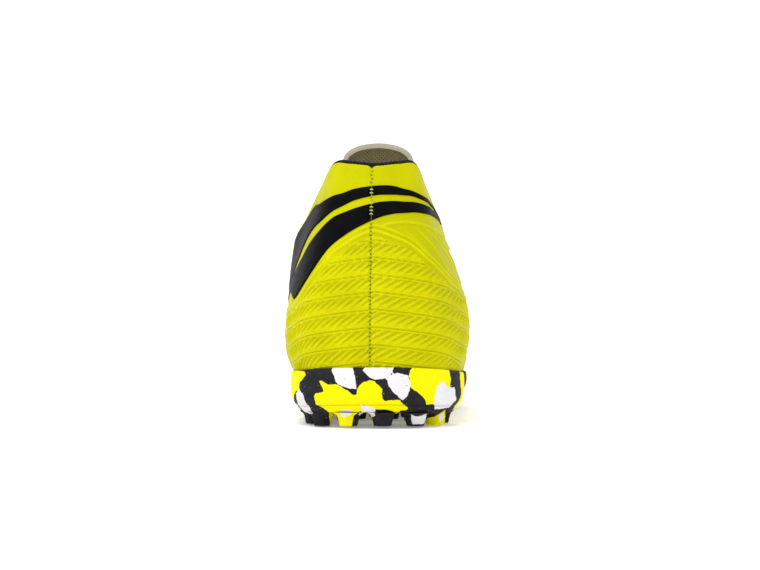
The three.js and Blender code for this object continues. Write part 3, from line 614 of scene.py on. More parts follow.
# signed station (lateral positive), then the shares of the wall at which the two black bands'
# edges lie: top and bottom of the upper band, top and bottom of the lower band
BANDS = np.array([
    [-8.4, 0.985, 0.972, 0.96, 0.945],
    [-7.7, 0.965, 0.95, 0.938, 0.918],
    [-6.9, 0.935, 0.918, 0.902, 0.87],
    [-5.5, 0.884, 0.862, 0.842, 0.802],
    [-4.1, 0.845, 0.822, 0.802, 0.757],
    [-2.6, 0.865, 0.835, 0.806, 0.755],
    [-1.2, 0.89, 0.845, 0.815, 0.753],
    [0, 0.895, 0.847, 0.812, 0.735],
    [1.6, 0.872, 0.815, 0.777, 0.676],
    [3, 0.836, 0.765, 0.733, 0.597],
    [4.2, 0.822, 0.722, 0.678, 0.486],
    [5.3, 0.852, 0.722, 0.65, 0.42],
    [6.05, 0.9, 0.716, 0.618, 0.408],
    [7.1, 0.95, 0.666, 0.597, 0.482],
    [9, 0.982, 0.62, 0.572, 0.538],
    [11, 0.93, 0.64, 0.595, 0.566],
    [12.8, 0.76, 0.69, 0.64, 0.615],
])


def band_edges(signed):
    return np.moveaxis(interpolate(BANDS, signed), -1, 0)


# Curves on the heel: distance round from the seam in mm (medial positive), height in mm
DOME = np.array([
    [-170, 36], [-110, 40], [-59.6, 44.2], [-37.6, 49.4], [-28.3, 56.7], [-22.4, 62.7], [-17, 67.4],
    [-9, 72], [-3.8, 74.4], [0, 74.9], [7.4, 72.9], [15.5, 69.8], [23.7, 64.1], [36, 57.2],
    [60, 51.4], [110, 44], [170, 38],
])
UNDER_BAND = np.array([[0, 76.1], [7.7, 77.9], [16.8, 78.6], [28.3, 77.5], [41.2, 76.2], [60, 73]])
FLAMES = [
    np.array([[10.7, 77], [18.7, 71.5], [27.6, 63.6], [42.4, 54.2], [70, 47]]),
    np.array([[15.8, 78], [26.2, 71.8], [38.8, 61.6], [70, 50.5]]),
    np.array([[21.7, 77.8], [34.8, 72.6], [49.4, 65.1], [75, 55]]),
    np.array([[28, 77.3], [42, 73.4], [58, 67], [80, 59]]),
]
LEVEL_PITCH = 6.6  # between the pairs of level ridges
LEVEL_TOP = 65.2
PAIR_SPACING = 1.15
SLASH_PITCH = 3.45
SLASH_SLOPE = math.tan(math.radians(38))
FACET_HEIGHT = 0.55  # share of the ridges' height of the raised half of each cell
FACET_EDGE = 0.22
LEVEL_DROP = np.array([[-1, 0], [0, 0], [28, 3.4], [45, 6.6], [80, 9.5], [170, 12], [400, 12]])
RIDGE_HEIGHT = 0.74
GROUND_DEPTH = 0.16


def ridge(distance, width):
    """1 on a line, falling smoothly to 0 at width from it."""
    t = np.clip(1 - np.abs(distance) / width, 0, 1)
    return t * t * (3 - 2 * t)


def across_curve(rows, a, z):
    """Distance of (a, z) above a curve, square to it."""
    clipped = np.clip(a, rows[0, 0], rows[-1, 0])
    height = interpolate(rows, clipped)[..., 0]
    slope = interpolate(rows, clipped + 0.5)[..., 0] - interpolate(rows, clipped - 0.5)[..., 0]
    return (z - height) / np.sqrt(1 + slope * slope)


def lattice(a, level, width):
    """Pairs of level ridges, with slanted ridges and a raised corner in each cell between them."""
    below = np.mod(LEVEL_TOP - level, LEVEL_PITCH)
    pair = np.maximum.reduce([ridge(below - at, width) for at in (0, PAIR_SPACING, LEVEL_PITCH)])
    slant = np.mod(a - level / SLASH_SLOPE, SLASH_PITCH)
    square = SLASH_SLOPE / math.hypot(1, SLASH_SLOPE)
    slash = np.maximum(ridge(slant * square, width), ridge((slant - SLASH_PITCH) * square, width))
    inside = smooth((below - PAIR_SPACING) / 0.6) * smooth((LEVEL_PITCH - below) / 0.6)
    up = (LEVEL_PITCH - below) / (LEVEL_PITCH - PAIR_SPACING)
    facet = FACET_HEIGHT * smooth((slant / SLASH_PITCH - up) / FACET_EDGE + 0.5)
    return np.maximum(pair * 0.8, np.maximum(slash, facet) * inside)


HEEL_SEAM = 0.3  # the back seam sits this many stations to the lateral side
SEAM_AT = float(round_heel(HEEL_SEAM))


def quarter_depth(signed, v, points):
    """Depth of the quarters' moulded surface, from the relief drawn on the heel."""
    a, z = round_heel(signed), points[..., 2]
    aside = np.abs(a)
    level = z + interpolate(LEVEL_DROP, aside)[..., 0]
    below_dome = -across_curve(DOME, a, z)
    relief = lattice(a, level, 0.56) * smooth((below_dome - 1.6) / 1.2)
    relief = np.maximum(relief, ridge(below_dome, 1.0))
    relief = np.maximum(relief, 0.7 * ridge(below_dome + 2.1, 1.0))
    low_edge = band_edges(signed)[3]
    reach = np.linalg.norm(wall(signed, 1.0) - wall(signed, 0.0), axis=-1)
    below_band = (low_edge - v) * reach * 0.85
    lateral = smooth((-a - 2) / 8)
    for at in (2.4, 4.6):
        relief = np.maximum(relief, 0.55 * lateral * ridge(below_band - at, 1.0))
    medial = smooth((a - 0.5) / 4)
    above_dome = smooth((-below_dome - 2.4) / 0.8)
    relief = np.maximum(relief, 0.8 * medial * ridge(across_curve(UNDER_BAND, a, z), 1.0))
    for flame in FLAMES:
        start = smooth((a - flame[0, 0]) / 6)
        relief = np.maximum(relief, 0.6 * start * above_dome * ridge(across_curve(flame, a, z), 1.0))
    ending = smooth((130 - aside) / 50)
    relief = relief * (0.45 + 0.55 * ending)
    relief = relief * smooth(below_band / 1.2) * smooth((v - 0.02) / 0.03)
    on_band = smooth((below_band + 1.2) / 1.2)
    relief = relief * on_band * smooth(np.abs(a - SEAM_AT) / 0.5)
    seam_groove = 0.07 * ridge(a - SEAM_AT, 0.6)
    return GROUND_DEPTH * smooth(below_band / 1.5) - RIDGE_HEIGHT * relief + seam_groove


def roll(distance, radius):
    """How far a surface drops where an edge is rounded off."""
    t = np.clip(1 - distance / radius, 0, 1)
    return radius * (1 - np.sqrt(np.clip(1 - t * t, 0, 1))) * 0.9


def edge_roll(points, sides, radius):
    """Drop near the named sides of a grid: "first", "last" columns, "foot" and "top" rows."""
    drop = np.zeros(points.shape[:2])
    along = np.linalg.norm(np.diff(points, axis=0), axis=-1)
    along = np.concatenate([np.zeros((1, points.shape[1])), np.cumsum(along, 0)])
    up = np.linalg.norm(np.diff(points, axis=1), axis=-1)
    up = np.concatenate([np.zeros((points.shape[0], 1)), np.cumsum(up, 1)], 1)
    gaps = {"first": along, "last": along[-1] - along, "foot": up, "top": up[:, -1:] - up}
    for side in sides:
        drop = np.maximum(drop, roll(gaps[side], radius))
    return drop


# ---- Panels of the upper ----

def columns(start, end, fine, coarse, fine_reach=48):
    """Stations from start to end, fine mm apart near the heel and coarse mm apart elsewhere."""
    stations = np.linspace(start, end, 2001)
    step = np.abs(np.diff(round_heel(stations), prepend=round_heel(stations[:1])))
    away = np.abs(round_heel(stations))
    count = np.cumsum(step / np.where(away < fine_reach, fine, coarse))
    return np.interp(np.linspace(0, count[-1], max(8, round(count[-1]))), count, stations)


def eyelet_station(pair):
    return THROAT_BASE - 0.75 - (THROAT_BASE - TOP_EYELET - 1.5) * pair / (EYELET_PAIRS - 1)


def punch(u, v, side, radius=EYELET_RADIUS):
    """Fits a grid's lines to the eyelets. Returns u, v and which cells are cut out."""
    u, v = u.copy(), v.copy()
    cut = np.zeros((u.shape[0] - 1, u.shape[1] - 1), bool)
    for pair in range(EYELET_PAIRS):
        centre = side * eyelet_station(pair)
        across = (wall(centre + 0.1, EYELET_ROW) - wall(centre - 0.1, EYELET_ROW)) / 0.2
        up = (wall(centre, EYELET_ROW + 0.01) - wall(centre, EYELET_ROW - 0.01)) / 0.02
        offset = (u - centre)[..., None] * across + (v - EYELET_ROW)[..., None] * up
        away = np.linalg.norm(offset, axis=-1)
        inside = away < radius
        hole = inside[:-1, :-1] | inside[1:, :-1] | inside[:-1, 1:] | inside[1:, 1:]
        cut |= hole
        corner = np.zeros(u.shape, bool)
        corner[:-1, :-1] |= hole
        corner[1:, :-1] |= hole
        corner[:-1, 1:] |= hole
        corner[1:, 1:] |= hole
        rim = corner & ~inside
        share = radius / np.maximum(away, 1e-6)
        u[rim] = (centre + (u - centre) * share)[rim]
        v[rim] = (EYELET_ROW + (v - EYELET_ROW) * share)[rim]
    return u, v, cut


def heel_notch(u):
    """Share of the wall by which the top edge dips where the back seam closes it."""
    return 0.013 * ridge(round_heel(u) - SEAM_AT, 2.2)


def panel(name, stations, rows, outer, inner, material, sides=(), radius=0.7, relief=None, side=0,
          step=4, dip=None, **how):
    """Sheet on the upper between two depths; outer and inner may be numbers or grids of depths."""
    u, v = np.meshgrid(stations, rows, indexing="ij")
    if dip:
        v = v * (1 - dip(u))
    cut = None
    if side:
        u, v, cut = punch(u, v, side)
    base = wall(u, v)
    depth = np.broadcast_to(outer, u.shape).astype(float)
    raised = np.zeros(u.shape)
    if relief:
        shaped = relief(u, v, base)
        depth = depth + shaped
        raised = (GROUND_DEPTH - shaped) / RIDGE_HEIGHT
    drop = edge_roll(base, sides, radius)
    top = wall_depth(u, v, depth + drop)
    bottom = wall_depth(u, v, np.broadcast_to(inner, u.shape))
    points, faces, source = shell(top, bottom, step, cut)
    along = np.broadcast_to(round_heel(np.clip(u, -24, 24))[..., None], (*u.shape, 1))
    lay = np.concatenate([along, wall_height(u, v)[..., None]], -1).reshape(-1, 2)[source]
    piece = make(name, points, faces, material, lay=lay, **how)
    # the raised share, which the upper's material uses to paint shade into the grooves
    attribute = piece.data.attributes.new("relief", "FLOAT", "POINT")
    attribute.data.foreach_set("value", raised.ravel()[source])
    return piece


SEAM_GAP = 0.02
HEEL_SEAM_LAP = 0.005
quarter_rows = np.linspace(0, 1, 190)
lining_rows = np.linspace(0, 0.985, 60)
sides = (("lateral", 1), ("medial", -1))

for side_name, sign in sides:
    ends = sorted([HEEL_SEAM - sign * HEEL_SEAM_LAP, sign * (THROAT_BASE - SEAM_GAP)])
    panel(f"quarter_skin_{side_name}", columns(*ends, 0.45, 0.8), quarter_rows, 0, SKIN, UPPER,
          sides=("top",), radius=0.55, relief=quarter_depth, side=sign, dip=heel_notch,
          replaces=[f"quarter_{side_name}"], slot="upper_synthetic")

    ends = sorted([sign * (TOP_EYELET - 1), sign * (THROAT_BASE - SEAM_GAP)])
    panel(f"eyestay_skin_{side_name}", columns(*ends, 0.5, 0.5), np.linspace(0.75, 0.995, 44),
          -GAP - EYESTAY_THICKNESS, -0.05, EYESTAY, sides=("first", "last", "foot", "top"), radius=0.8,
          side=sign, replaces=[f"eyestay_{side_name}"], slot="eyestay_synthetic")
    panel(f"quarter_lining_cloth_{side_name}", columns(*ends, 0.7, 0.7), lining_rows,
          QUARTER_LINING[0], QUARTER_LINING[1], LINING_CLOTH, side=sign,
          replaces=[f"quarter_lining_{side_name}"], slot="lining_textile")


def stripe(name, upper, sign, **how):
    """One black band, following its two edges."""
    last = 12.8 if sign > 0 else 8.4
    stations = columns(*sorted([HEEL_SEAM + sign * SEAM_GAP, sign * last]), 0.5, 0.6)
    top, bottom = band_edges(stations)[0 if upper else 2], band_edges(stations)[1 if upper else 3]
    share = np.linspace(0, 1, 20 if upper else 28)
    u = np.broadcast_to(stations[:, None], (len(stations), len(share)))
    v = bottom[:, None] + (top - bottom)[:, None] * share
    drop = edge_roll(wall(u, v), ("first", "last", "foot", "top"), 0.35)
    points, faces, source = shell(wall_depth(u, v, drop - 0.5), wall_depth(u, v, -0.04), 3)
    return make(name, points, faces, STRIPE, slot="stripe_film", **how)


for side_name, sign in sides:
    for place, upper in (("upper", True), ("lower", False)):
        stripe(f"heel_band_{place}_{side_name}", upper, sign,
               replaces=[f"heel_stripe_{place}_{side_name}"])


def vamp_depth(u, v, points):
    """Relief of the vamp: the heel's lattice, drawn larger, fading out towards the lacing."""
    along = np.cumsum(np.linalg.norm(np.diff(wall(u[:, 0], 0.45), axis=0, prepend=0), axis=-1))
    along = np.broadcast_to((along - along[0])[:, None], u.shape)
    height = wall_height(u, v)
    relief = lattice(along, LEVEL_TOP - height, 0.75)
    fade = smooth((v - 0.06) / 0.06) * smooth((0.8 - v) / 0.3)
    return GROUND_DEPTH - RIDGE_HEIGHT * 0.7 * relief * fade


vamp_stations = np.interp(np.linspace(0, 1, 300), np.linspace(0, 1, 25), np.arange(20, 45.0))
vamp_stations[0] += SEAM_GAP
vamp_stations[-1] -= SEAM_GAP
panel("vamp_skin", vamp_stations, np.linspace(0, 1, 100), 0, SKIN, UPPER,
      sides=("first", "last", "top"), radius=0.6, relief=vamp_depth, replaces=["vamp"],
      slot="upper_synthetic")
panel("vamp_lining_cloth", vamp_stations[::3], lining_rows, *LINING, LINING_CLOTH,
      replaces=["vamp_lining"], slot="lining_textile")


# ---- Sole unit ----

# Outlines of the patches on the back of the sole, as x and z in mm
YELLOW_PATCHES = [
    [(-21.8, 18.6), (-18.8, 16.6), (-14, 16.4), (-5.2, 10.6), (-4.6, 7), (-8.2, 4.9), (-8.8, 3.6),
     (-9.4, -1), (-17.6, -1), (-17.8, 6.2), (-22.8, 9), (-23.4, 13), (-19, 13.7), (-20.4, 16.6)],
    [(-6.7, 15), (-4.6, 17.4), (-0.5, 18.1), (2.4, 15.6), (2.9, 10.4), (8.6, 10.8), (12.4, 7.4), (9, 6.4),
     (9, 5), (3.8, 7.6), (-1.4, 7.4), (-5.4, 9.6), (-7.3, 12)],
    [(12.8, 21), (14.5, 24), (28, 24), (29.2, 18), (28.4, 14.4), (22.4, 8.9), (18, 8.7), (15.6, 13.8),
     (12.9, 16)],
    [(-38, 21.6), (-27.4, 21.4), (-26.8, 20.2), (-29.2, 17.4), (-29.4, 14), (-31.5, 13.4), (-32.6, 9),
     (-30, 4.4), (-38, 3)],
    [(33.4, 21), (40, 21), (40, 3), (31, 5.4), (34.2, 11)],
    [(19.8, 2.6), (23, 3), (27.4, 6.4), (28.5, -1), (20, -1)],
]
WHITE_PATCHES = [
    [(-16.4, 22.2), (-15.6, 24), (-8.6, 24), (-7.6, 18), (-7.2, 15), (-10.6, 15.4), (-14.2, 16.8)],
    [(-4.6, 22), (-3.6, 24), (7.4, 24), (6.4, 21.4), (4.6, 19.7), (0.4, 18.3), (-2.4, 20)],
    [(5, 19.4), (8, 21.3), (12.3, 20), (13.2, 16.2), (11.8, 12.6), (10.4, 10.8), (6.8, 13.8), (4.7, 17)],
    [(22.6, 6.6), (22.4, 12), (23.6, 15.8), (25.8, 17.9), (27.8, 15), (30.6, 14.9), (31.4, 10.4),
     (29.2, 7.2)],
    [(-5.8, 9.4), (-0.3, 7.4), (-0.2, 4), (-3.2, 3.6), (-6.4, 4.9), (-4.8, 7.4)],
    [(-31.2, 12.6), (-30, 14.4), (-28, 12.2), (-26.8, 9.4), (-24.3, 5.2), (-27.6, 4.4), (-30.6, 7.6)],
    [(-13.2, 6.6), (-9.2, 6.8), (-9.6, 4.6), (-12.6, 4.4)],
    [(13.6, 5.2), (15, 4.2), (18.2, 4.2), (19.6, 5.2), (18.8, 1.4), (14.4, 1.2)],
    [(25.2, 4.6), (27.2, 4.4), (27, 1.8), (25.4, 1.9)],
]
BLACK_PATCHES = [[(13.8, 13.2), (15.4, 14.4), (18.6, 11), (19.2, 8.6), (17, 8.4), (12.4, 9)]]
HEEL_DEPTH = 36  # the patches above are used this far from the heel's back
RANDOM_PATCHES = 420
FOREFOOT_PATCH = (51, 200, 14)  # middle of a yellow patch on the ball's inner side, seen from behind
FOREFOOT_PATCH_SIZE = 22


def inside_polygon(corners, x, z):
    """Distance inside a closed outline in mm; negative outside it."""
    nearest = np.full(x.shape, np.inf)
    odd = np.zeros(x.shape, bool)
    for (x0, z0), (x1, z1) in zip(corners, corners[1:] + corners[:1]):
        ex, ez = x1 - x0, z1 - z0
        share = np.clip(((x - x0) * ex + (z - z0) * ez) / (ex * ex + ez * ez), 0, 1)
        nearest = np.minimum(nearest, np.hypot(x - x0 - share * ex, z - z0 - share * ez))
        crosses = (z0 > z) != (z1 > z)
        odd ^= crosses & (x < x0 + (z - z0) * ex / (ez if ez else 1e-9))
    return np.where(odd, nearest, -nearest)


def camo_fields(points):
    """How far inside a white and inside a yellow patch each point lies, in mm."""
    x, y, z = np.moveaxis(points, -1, 0)
    behind = (HEEL_DEPTH - y) / 2

    def patches(outlines):
        return np.maximum.reduce([inside_polygon(corners, x, z) + 0.1 for corners in outlines])

    stations = rng.uniform(0, LOOP, RANDOM_PATCHES)
    middles = outline(stations, rng.uniform(0, 1, RANDOM_PATCHES) ** 1.5 * 34)
    heights = rng.uniform(2, 26, RANDOM_PATCHES)
    sizes = rng.uniform(4, 8, RANDOM_PATCHES)
    leans = rng.uniform(-1, 1, RANDOM_PATCHES)
    is_white = rng.uniform(size=RANDOM_PATCHES) < 0.4
    fields = [np.full(x.shape, -9.0), np.full(x.shape, -9.0)]
    for (cx, cy), cz, size, lean, pale in zip(middles, heights, sizes, leans, is_white):
        flat = np.hypot(x - cx, y - cy) + lean * (z - cz) * 0.7
        inside = size * (0.8 if pale else 1) - np.hypot(flat, (z - cz) * 1.15)
        k = 0 if pale else 1
        fields[k] = np.maximum(fields[k], inside)
    forefoot = FOREFOOT_PATCH_SIZE - np.linalg.norm(points - np.array(FOREFOOT_PATCH), axis=-1)
    fields = [np.minimum(fields[0], -forefoot), np.maximum(fields[1], forefoot)]
    white = np.where(behind > 0, patches(WHITE_PATCHES), fields[0])
    yellow = np.where(behind > 0, np.minimum(patches(YELLOW_PATCHES), -patches(BLACK_PATCHES)), fields[1])
    return white, yellow


def paint_camo(piece, points):
    white, yellow = camo_fields(points)
    attribute = piece.data.attributes.new("camo", "FLOAT_VECTOR", "POINT")
    packed = np.stack([white, yellow, np.zeros_like(white)], -1)
    attribute.data.foreach_set("vector", packed.ravel())


def ring_faces(count, n):
    """Faces of count rings of n points, and ladders across the first and last ring."""
    faces = []
    for r in range(count - 1):
        for i in range(n):
            j = (i + 1) % n
            faces.append((r * n + i, (r + 1) * n + i, (r + 1) * n + j, r * n + j))
    last = (count - 1) * n
    for i in range(n // 2):
        rung = list(dict.fromkeys((i, i + 1, n - i - 1, (n - i) % n)))
        faces += [rung, [last + k for k in rung[::-1]]]
    return faces


def profile(rows, count):
    """Even samples along a smooth curve through rows of values."""
    keyed = np.array([[i, *row] for i, row in enumerate(rows)], float)
    return np.moveaxis(interpolate(keyed, np.linspace(0, len(rows) - 1, count)), -1, 0)


RIM_U = 384
MIDSOLE_FOOT = OUTSOLE_THICKNESS + GAP
# inset, share of the way from the plate to the rim, mm added
SIDE_PROFILE = [
    (3.1, 0, 0), (2.5, 0, 0.1), (1.6, 0, 0.9), (0.8, 0, 2.4), (0.3, 0, 4.4), (0.05, 0.55, 0),
    (0, 0.75, 0), (0.08, 1, -1.8), (0.2, 1, -0.9), (0.75, 1, -0.25), (1.5, 1, -0.1),
]


def rim_share(u, z):
    """Share of the wall's height at which the outer surface reaches height z."""
    low_v, high_v = np.zeros(u.shape), np.full(u.shape, 0.4)
    for _ in range(24):
        middle = (low_v + high_v) / 2
        below = wall(u, middle)[..., 2] < z
        low_v, high_v = np.where(below, middle, low_v), np.where(below, high_v, middle)
    return low_v


def build_midsole():
    u = np.arange(RIM_U) * LOOP / RIM_U
    y = station(u)[:, 1]
    plate, floor, rim = sole_heights(y)
    inset, share, more = profile(SIDE_PROFILE, 30)
    bottom = plate + MIDSOLE_FOOT
    rings = []
    for one_inset, one_share, one_more in zip(inset, share, more):
        z = bottom + (rim - bottom) * one_share + one_more
        rings.append(np.concatenate([outline(u, np.full(RIM_U, one_inset)), z[:, None]], 1))
    lip = wall_depth(u, rim_share(u, rim), -0.12)
    lip[:, 2] = rim - 0.35
    foot = wall_depth(u, 0.0, -GAP)
    foot[:, 2] = floor
    rings += [lip, foot]
    points = np.concatenate(rings)
    piece = make("midsole_foam_body", points, ring_faces(len(rings), RIM_U), MIDSOLE,
                 replaces=["midsole"], slot="midsole_foam")
    paint_camo(piece, points)


def stud_mesh(x, y, radius, turn, plate, sides=6, round_steps=36):
    """Moulded rubber stud: a tapered block with rounded corners, a filleted root and a dished foot."""
    angle = np.linspace(0, 2 * math.pi, round_steps, endpoint=False)
    flat = math.pi / sides
    folded = np.mod(angle, 2 * flat) - flat
    block = np.cos(flat) / np.cos(folded)
    shape = radius * (0.45 * block + 0.55 * 0.94)
    levels = [  # share of the radius, mm added to it, height above the stud's foot
        (0.5, 0, 0.45), (0.72, -0.55, 0.1), (0.74, -0.2, 0), (0.76, 0, 0.25), (0.8, 0, 1.2),
        (0.9, 0, 3.2), (0.97, 0.1, 4.2), (1.06, 0.6, 4.75), (1.1, 0.9, 5.3),
    ]
    rings = []
    for share, more, z in levels:
        r = shape * share + more
        rings.append(np.stack([x + r * np.cos(angle + turn), y + r * np.sin(angle + turn),
                               np.full(round_steps, plate - STUD_HEIGHT + z)], 1))
    rings = np.array(rings)
    return rings.reshape(-1, 3), closed_tube(rings)


EDGE_STUDS = 46
FIRST_STUD = 2.8
EDGE_STUD_INSET = 9.7
EDGE_STUD_RADIUS = 4.9
INNER_STUD_RADIUS = 3.7
INNER_STUD_PITCH = 14
INNER_STUD_KEEP = 21
INNER_STUD_ROWS = (48, 268)
ARCH = (88, 132)


def stud_places():
    """x, y and radius of every stud."""
    edge = outline(np.linspace(LOOP, 0, LOOP * 20 + 1), EDGE_STUD_INSET)
    run = np.concatenate([[0], np.cumsum(np.linalg.norm(np.diff(edge, axis=0), axis=1))])
    for at in FIRST_STUD + np.arange(EDGE_STUDS) * run[-1] / EDGE_STUDS:
        yield np.interp(at, run, edge[:, 0]), np.interp(at, run, edge[:, 1]), EDGE_STUD_RADIUS
    around = outline(np.arange(0, LOOP, 0.125))
    lateral, medial = around[:256], around[256:]
    row, y = 0, INNER_STUD_ROWS[0]
    while y < INNER_STUD_ROWS[1]:
        if not ARCH[0] < y < ARCH[1]:
            left = lateral[np.argmin(abs(lateral[:, 1] - y)), 0]
            right = medial[np.argmin(abs(medial[:, 1] - y)), 0]
            middle, reach = (left + right) / 2, (right - left) / 2 - INNER_STUD_KEEP
            for k in range(-4, 5):
                x = (k + 0.5 * (row % 2)) * INNER_STUD_PITCH
                if abs(x) <= reach:
                    yield middle + x, y, INNER_STUD_RADIUS
        y += INNER_STUD_PITCH * 0.87
        row += 1


def build_outsole():
    u = np.arange(RIM_U) * LOOP / RIM_U
    plate = sole_heights(station(u)[:, 1])[0]
    rows = [(6.6, 0), (5.6, 0.05), (4.9, 0.3), (4.2, 0.9), (3.6, 1.5), (3.1, 2.1), (2.9, 2.6), (3.0, 2.86)]
    rings = [np.concatenate([outline(u, np.full(RIM_U, i)), (plate + z)[:, None]], 1) for i, z in rows]
    parts = [(np.concatenate(rings), ring_faces(len(rings), RIM_U))]
    for x, y, radius in stud_places():
        turn = rng.uniform(0, math.pi / 3)
        parts.append(stud_mesh(x, y, radius, turn, float(sole_heights(np.array(y))[0])))
    points, faces = merged(parts)
    piece = make("outsole_rubber_body", points, faces, OUTSOLE, replaces=["outsole"],
                 slot="outsole_rubber")
    paint_camo(piece, points)


build_midsole()
build_outsole()


# ---- Inside of the shoe ----

STROBEL_TOP = GAP + 1.2
SOCKLINER = 3.6 + GAP + 0.8
SOLE_INNER = FEATHER_INSET + LINING[1] + GAP


def build_sockliner():
    """Moulded foam insole with a fabric top, dished along its edge and under the heel."""
    count, across = 161, 29
    u = np.linspace(0.4, 31.6, count)
    inset = SOLE_INNER + 0.7
    left, right = outline(u, np.full(count, inset)), outline(LOOP - u, np.full(count, inset))
    s = (1 - np.cos(np.linspace(0, math.pi, across))) / 2
    xy = left[:, None] + (right - left)[:, None] * s[None, :, None]
    floor = sole_heights(xy[..., 1])[1]
    bottom = floor + STROBEL_TOP + GAP
    edge = np.minimum(s, 1 - s)[None, :] * np.linalg.norm(right - left, axis=1)[:, None]
    ends = np.minimum(np.arange(count), np.arange(count)[::-1])[:, None] * 1.6
    border = np.minimum(edge, ends)
    dish = 1.3 * smooth(border / 16) * (1 + 0.4 * smooth((70 - xy[..., 1]) / 40))
    top = bottom + SOCKLINER - dish - roll(border, 1.0)
    grid = np.concatenate([xy, top[..., None]], -1)
    under = np.concatenate([xy, bottom[..., None]], -1)
    points, faces, source = shell(grid[:, ::-1], under[:, ::-1], 4)
    lay = grid[:, ::-1, :2].reshape(-1, 2)[source]
    piece = make("sockliner_insole", points, faces, SOCKLINER_CLOTH, lay=lay,
                 replaces=["sockliner_foam", "sockliner_cover"], slot="sockliner_foam")


LIP_RISE = 0.024  # share of the wall by which the knit rolls up above the panel's edge


def build_collar():
    """Padded collar and heel lining: one knit-covered pad from the footbed up over the top line."""
    stations = np.linspace(-COLLAR_END, COLLAR_END, 261)
    aside = np.abs(stations)[:, None]
    fullness = FOAM_SWELL * (1 - 0.85 * smooth((aside - 8) / 5))
    rows = np.linspace(0, 1.0, 76)
    u, v = np.meshgrid(stations, rows, indexing="ij")
    swell = fullness * smooth((v - 0.5) / 0.34)
    pinch = 1 - 0.12 * ridge(v - 0.66, 0.03)
    inner_depth = LINING[1] + swell * pinch
    lip_rows = np.linspace(0, 1, 16)[1:]
    # over the top: from the pad's crest back to the outer panel, rising above the panel's edge
    turn = math.pi * lip_rows
    span = inner_depth[:, -1:] - 0.2
    lip_v = 1.0 + LIP_RISE * np.sin(turn) ** 0.7 * np.ones_like(stations)[:, None]
    lip_depth = 0.2 + span * (1 + np.cos(turn)) / 2
    outer_u = np.concatenate([u, np.broadcast_to(stations[:, None], lip_v.shape)], 1)
    outer_v = np.concatenate([v, lip_v - 0.004 * lip_rows], 1)
    outer_depth = np.concatenate([inner_depth, lip_depth], 1)
    skin = wall_depth(outer_u, outer_v, outer_depth)
    knit_bumps = 0.12 * (np.sin(np.arange(skin.shape[0]) * 2.1)[:, None]
                         * np.sin(np.arange(skin.shape[1]) * 1.9)[None, :])
    skin = skin + wall_normal(outer_u, outer_v) * (knit_bumps * smooth((outer_v - 0.9) / 0.05))[..., None]
    back_v = np.minimum(outer_v, 0.975)
    back_depth = np.minimum(np.full(outer_v.shape, LINING[0]), outer_depth - 0.05)
    back_depth = np.where(outer_v > 0.62, 1.6, back_depth)
    back_depth = np.where(outer_v > 1.0, np.minimum(1.6, outer_depth), back_depth)
    back = wall_depth(outer_u, back_v, back_depth)
    points, faces, source = shell(skin[::-1], back[::-1], 3)
    along = np.broadcast_to(round_heel(outer_u)[..., None], (*outer_u.shape, 1))
    rolled = wall_height(outer_u, np.minimum(outer_v, 1)) + np.concatenate(
        [np.zeros(u.shape), span * lip_rows * 1.4], 1)
    lay = np.concatenate([along, rolled[..., None]], -1)[::-1].reshape(-1, 2)[source]
    piece = make("collar_pad", points, faces, COLLAR, lay=lay,
                 replaces=["collar_foam", "collar_lining"], slot="collar_knit")


build_sockliner()
build_collar()


# ---- Tongue ----

TONGUE_DEPTH = 4.9
TONGUE_THICKNESS = 1.6
TONGUE_BASE = 28
TONGUE_REACH = 0.25  # how far down the quarters' walls the tongue's wings go, as a share
BEND_START = 4.8  # height above the top eyelets of a point on the tongue's middle, worked out in build_tongue and not used further
FLAP_ROOT = 9.0  # height above the top eyelets of a second such point, also worked out and not used further
FLAP_TOP = 26
FLAP_CROWN = 3
FLAP_CORNER = 5
FLAP_HALF_WIDTH = 0.55
FLAP_LEAN = 1.1
FLAP_SPREAD = 0.02
FLAP_FLATTENING = 0.4
LOWER_TONGUE_TOP = 4.5
BINDING = 1.6  # width of the light edge binding round the flap's lining
HALF_WIDTH = 19  # half the tongue's width in mm, near enough for its border and weave
BORDER_ROUND = 2.6
NO_EDGE = 40.0  # stands for the distance to the top edge where there is none
FLAP_THICKNESS = 5.3
RISE_START = 42  # degrees above level at which the flap leaves the top eyelets
RISE_MORE = 26
RISE_LENGTH = 12


def throat(u, t):
    """Surface over the instep between the quarters; t runs from the lateral wing to the medial wing."""
    u, t = np.broadcast_arrays(np.asarray(u, float), np.asarray(t, float))
    side = np.abs(t)
    wing = wall(np.where(t > 0, LOOP - u, u), 1 - (side - 0.5) / 0.5 * TONGUE_REACH)
    a, b = wall(u, 1.0), wall(LOOP - u, 1.0)
    da, db = unit(a - wall(u, 0.99)), unit(b - wall(LOOP - u, 0.99))
    span = np.linalg.norm(b - a, axis=-1, keepdims=True)
    bridge = hermite((t + 0.5)[..., None], a, da * span, b, -db * span)
    return np.where((side > 0.5)[..., None], wing, bridge)


RISE_H = np.arange(0, FLAP_TOP + 4, 0.25)
RISE_ANGLE = np.radians(RISE_START + RISE_MORE * smooth((RISE_H + 0.125) / RISE_LENGTH))
RISE_Y = np.concatenate([[0], -np.cumsum(0.25 * np.cos(RISE_ANGLE))])[:-1]
RISE_Z = np.concatenate([[0], np.cumsum(0.25 * np.sin(RISE_ANGLE))])[:-1]


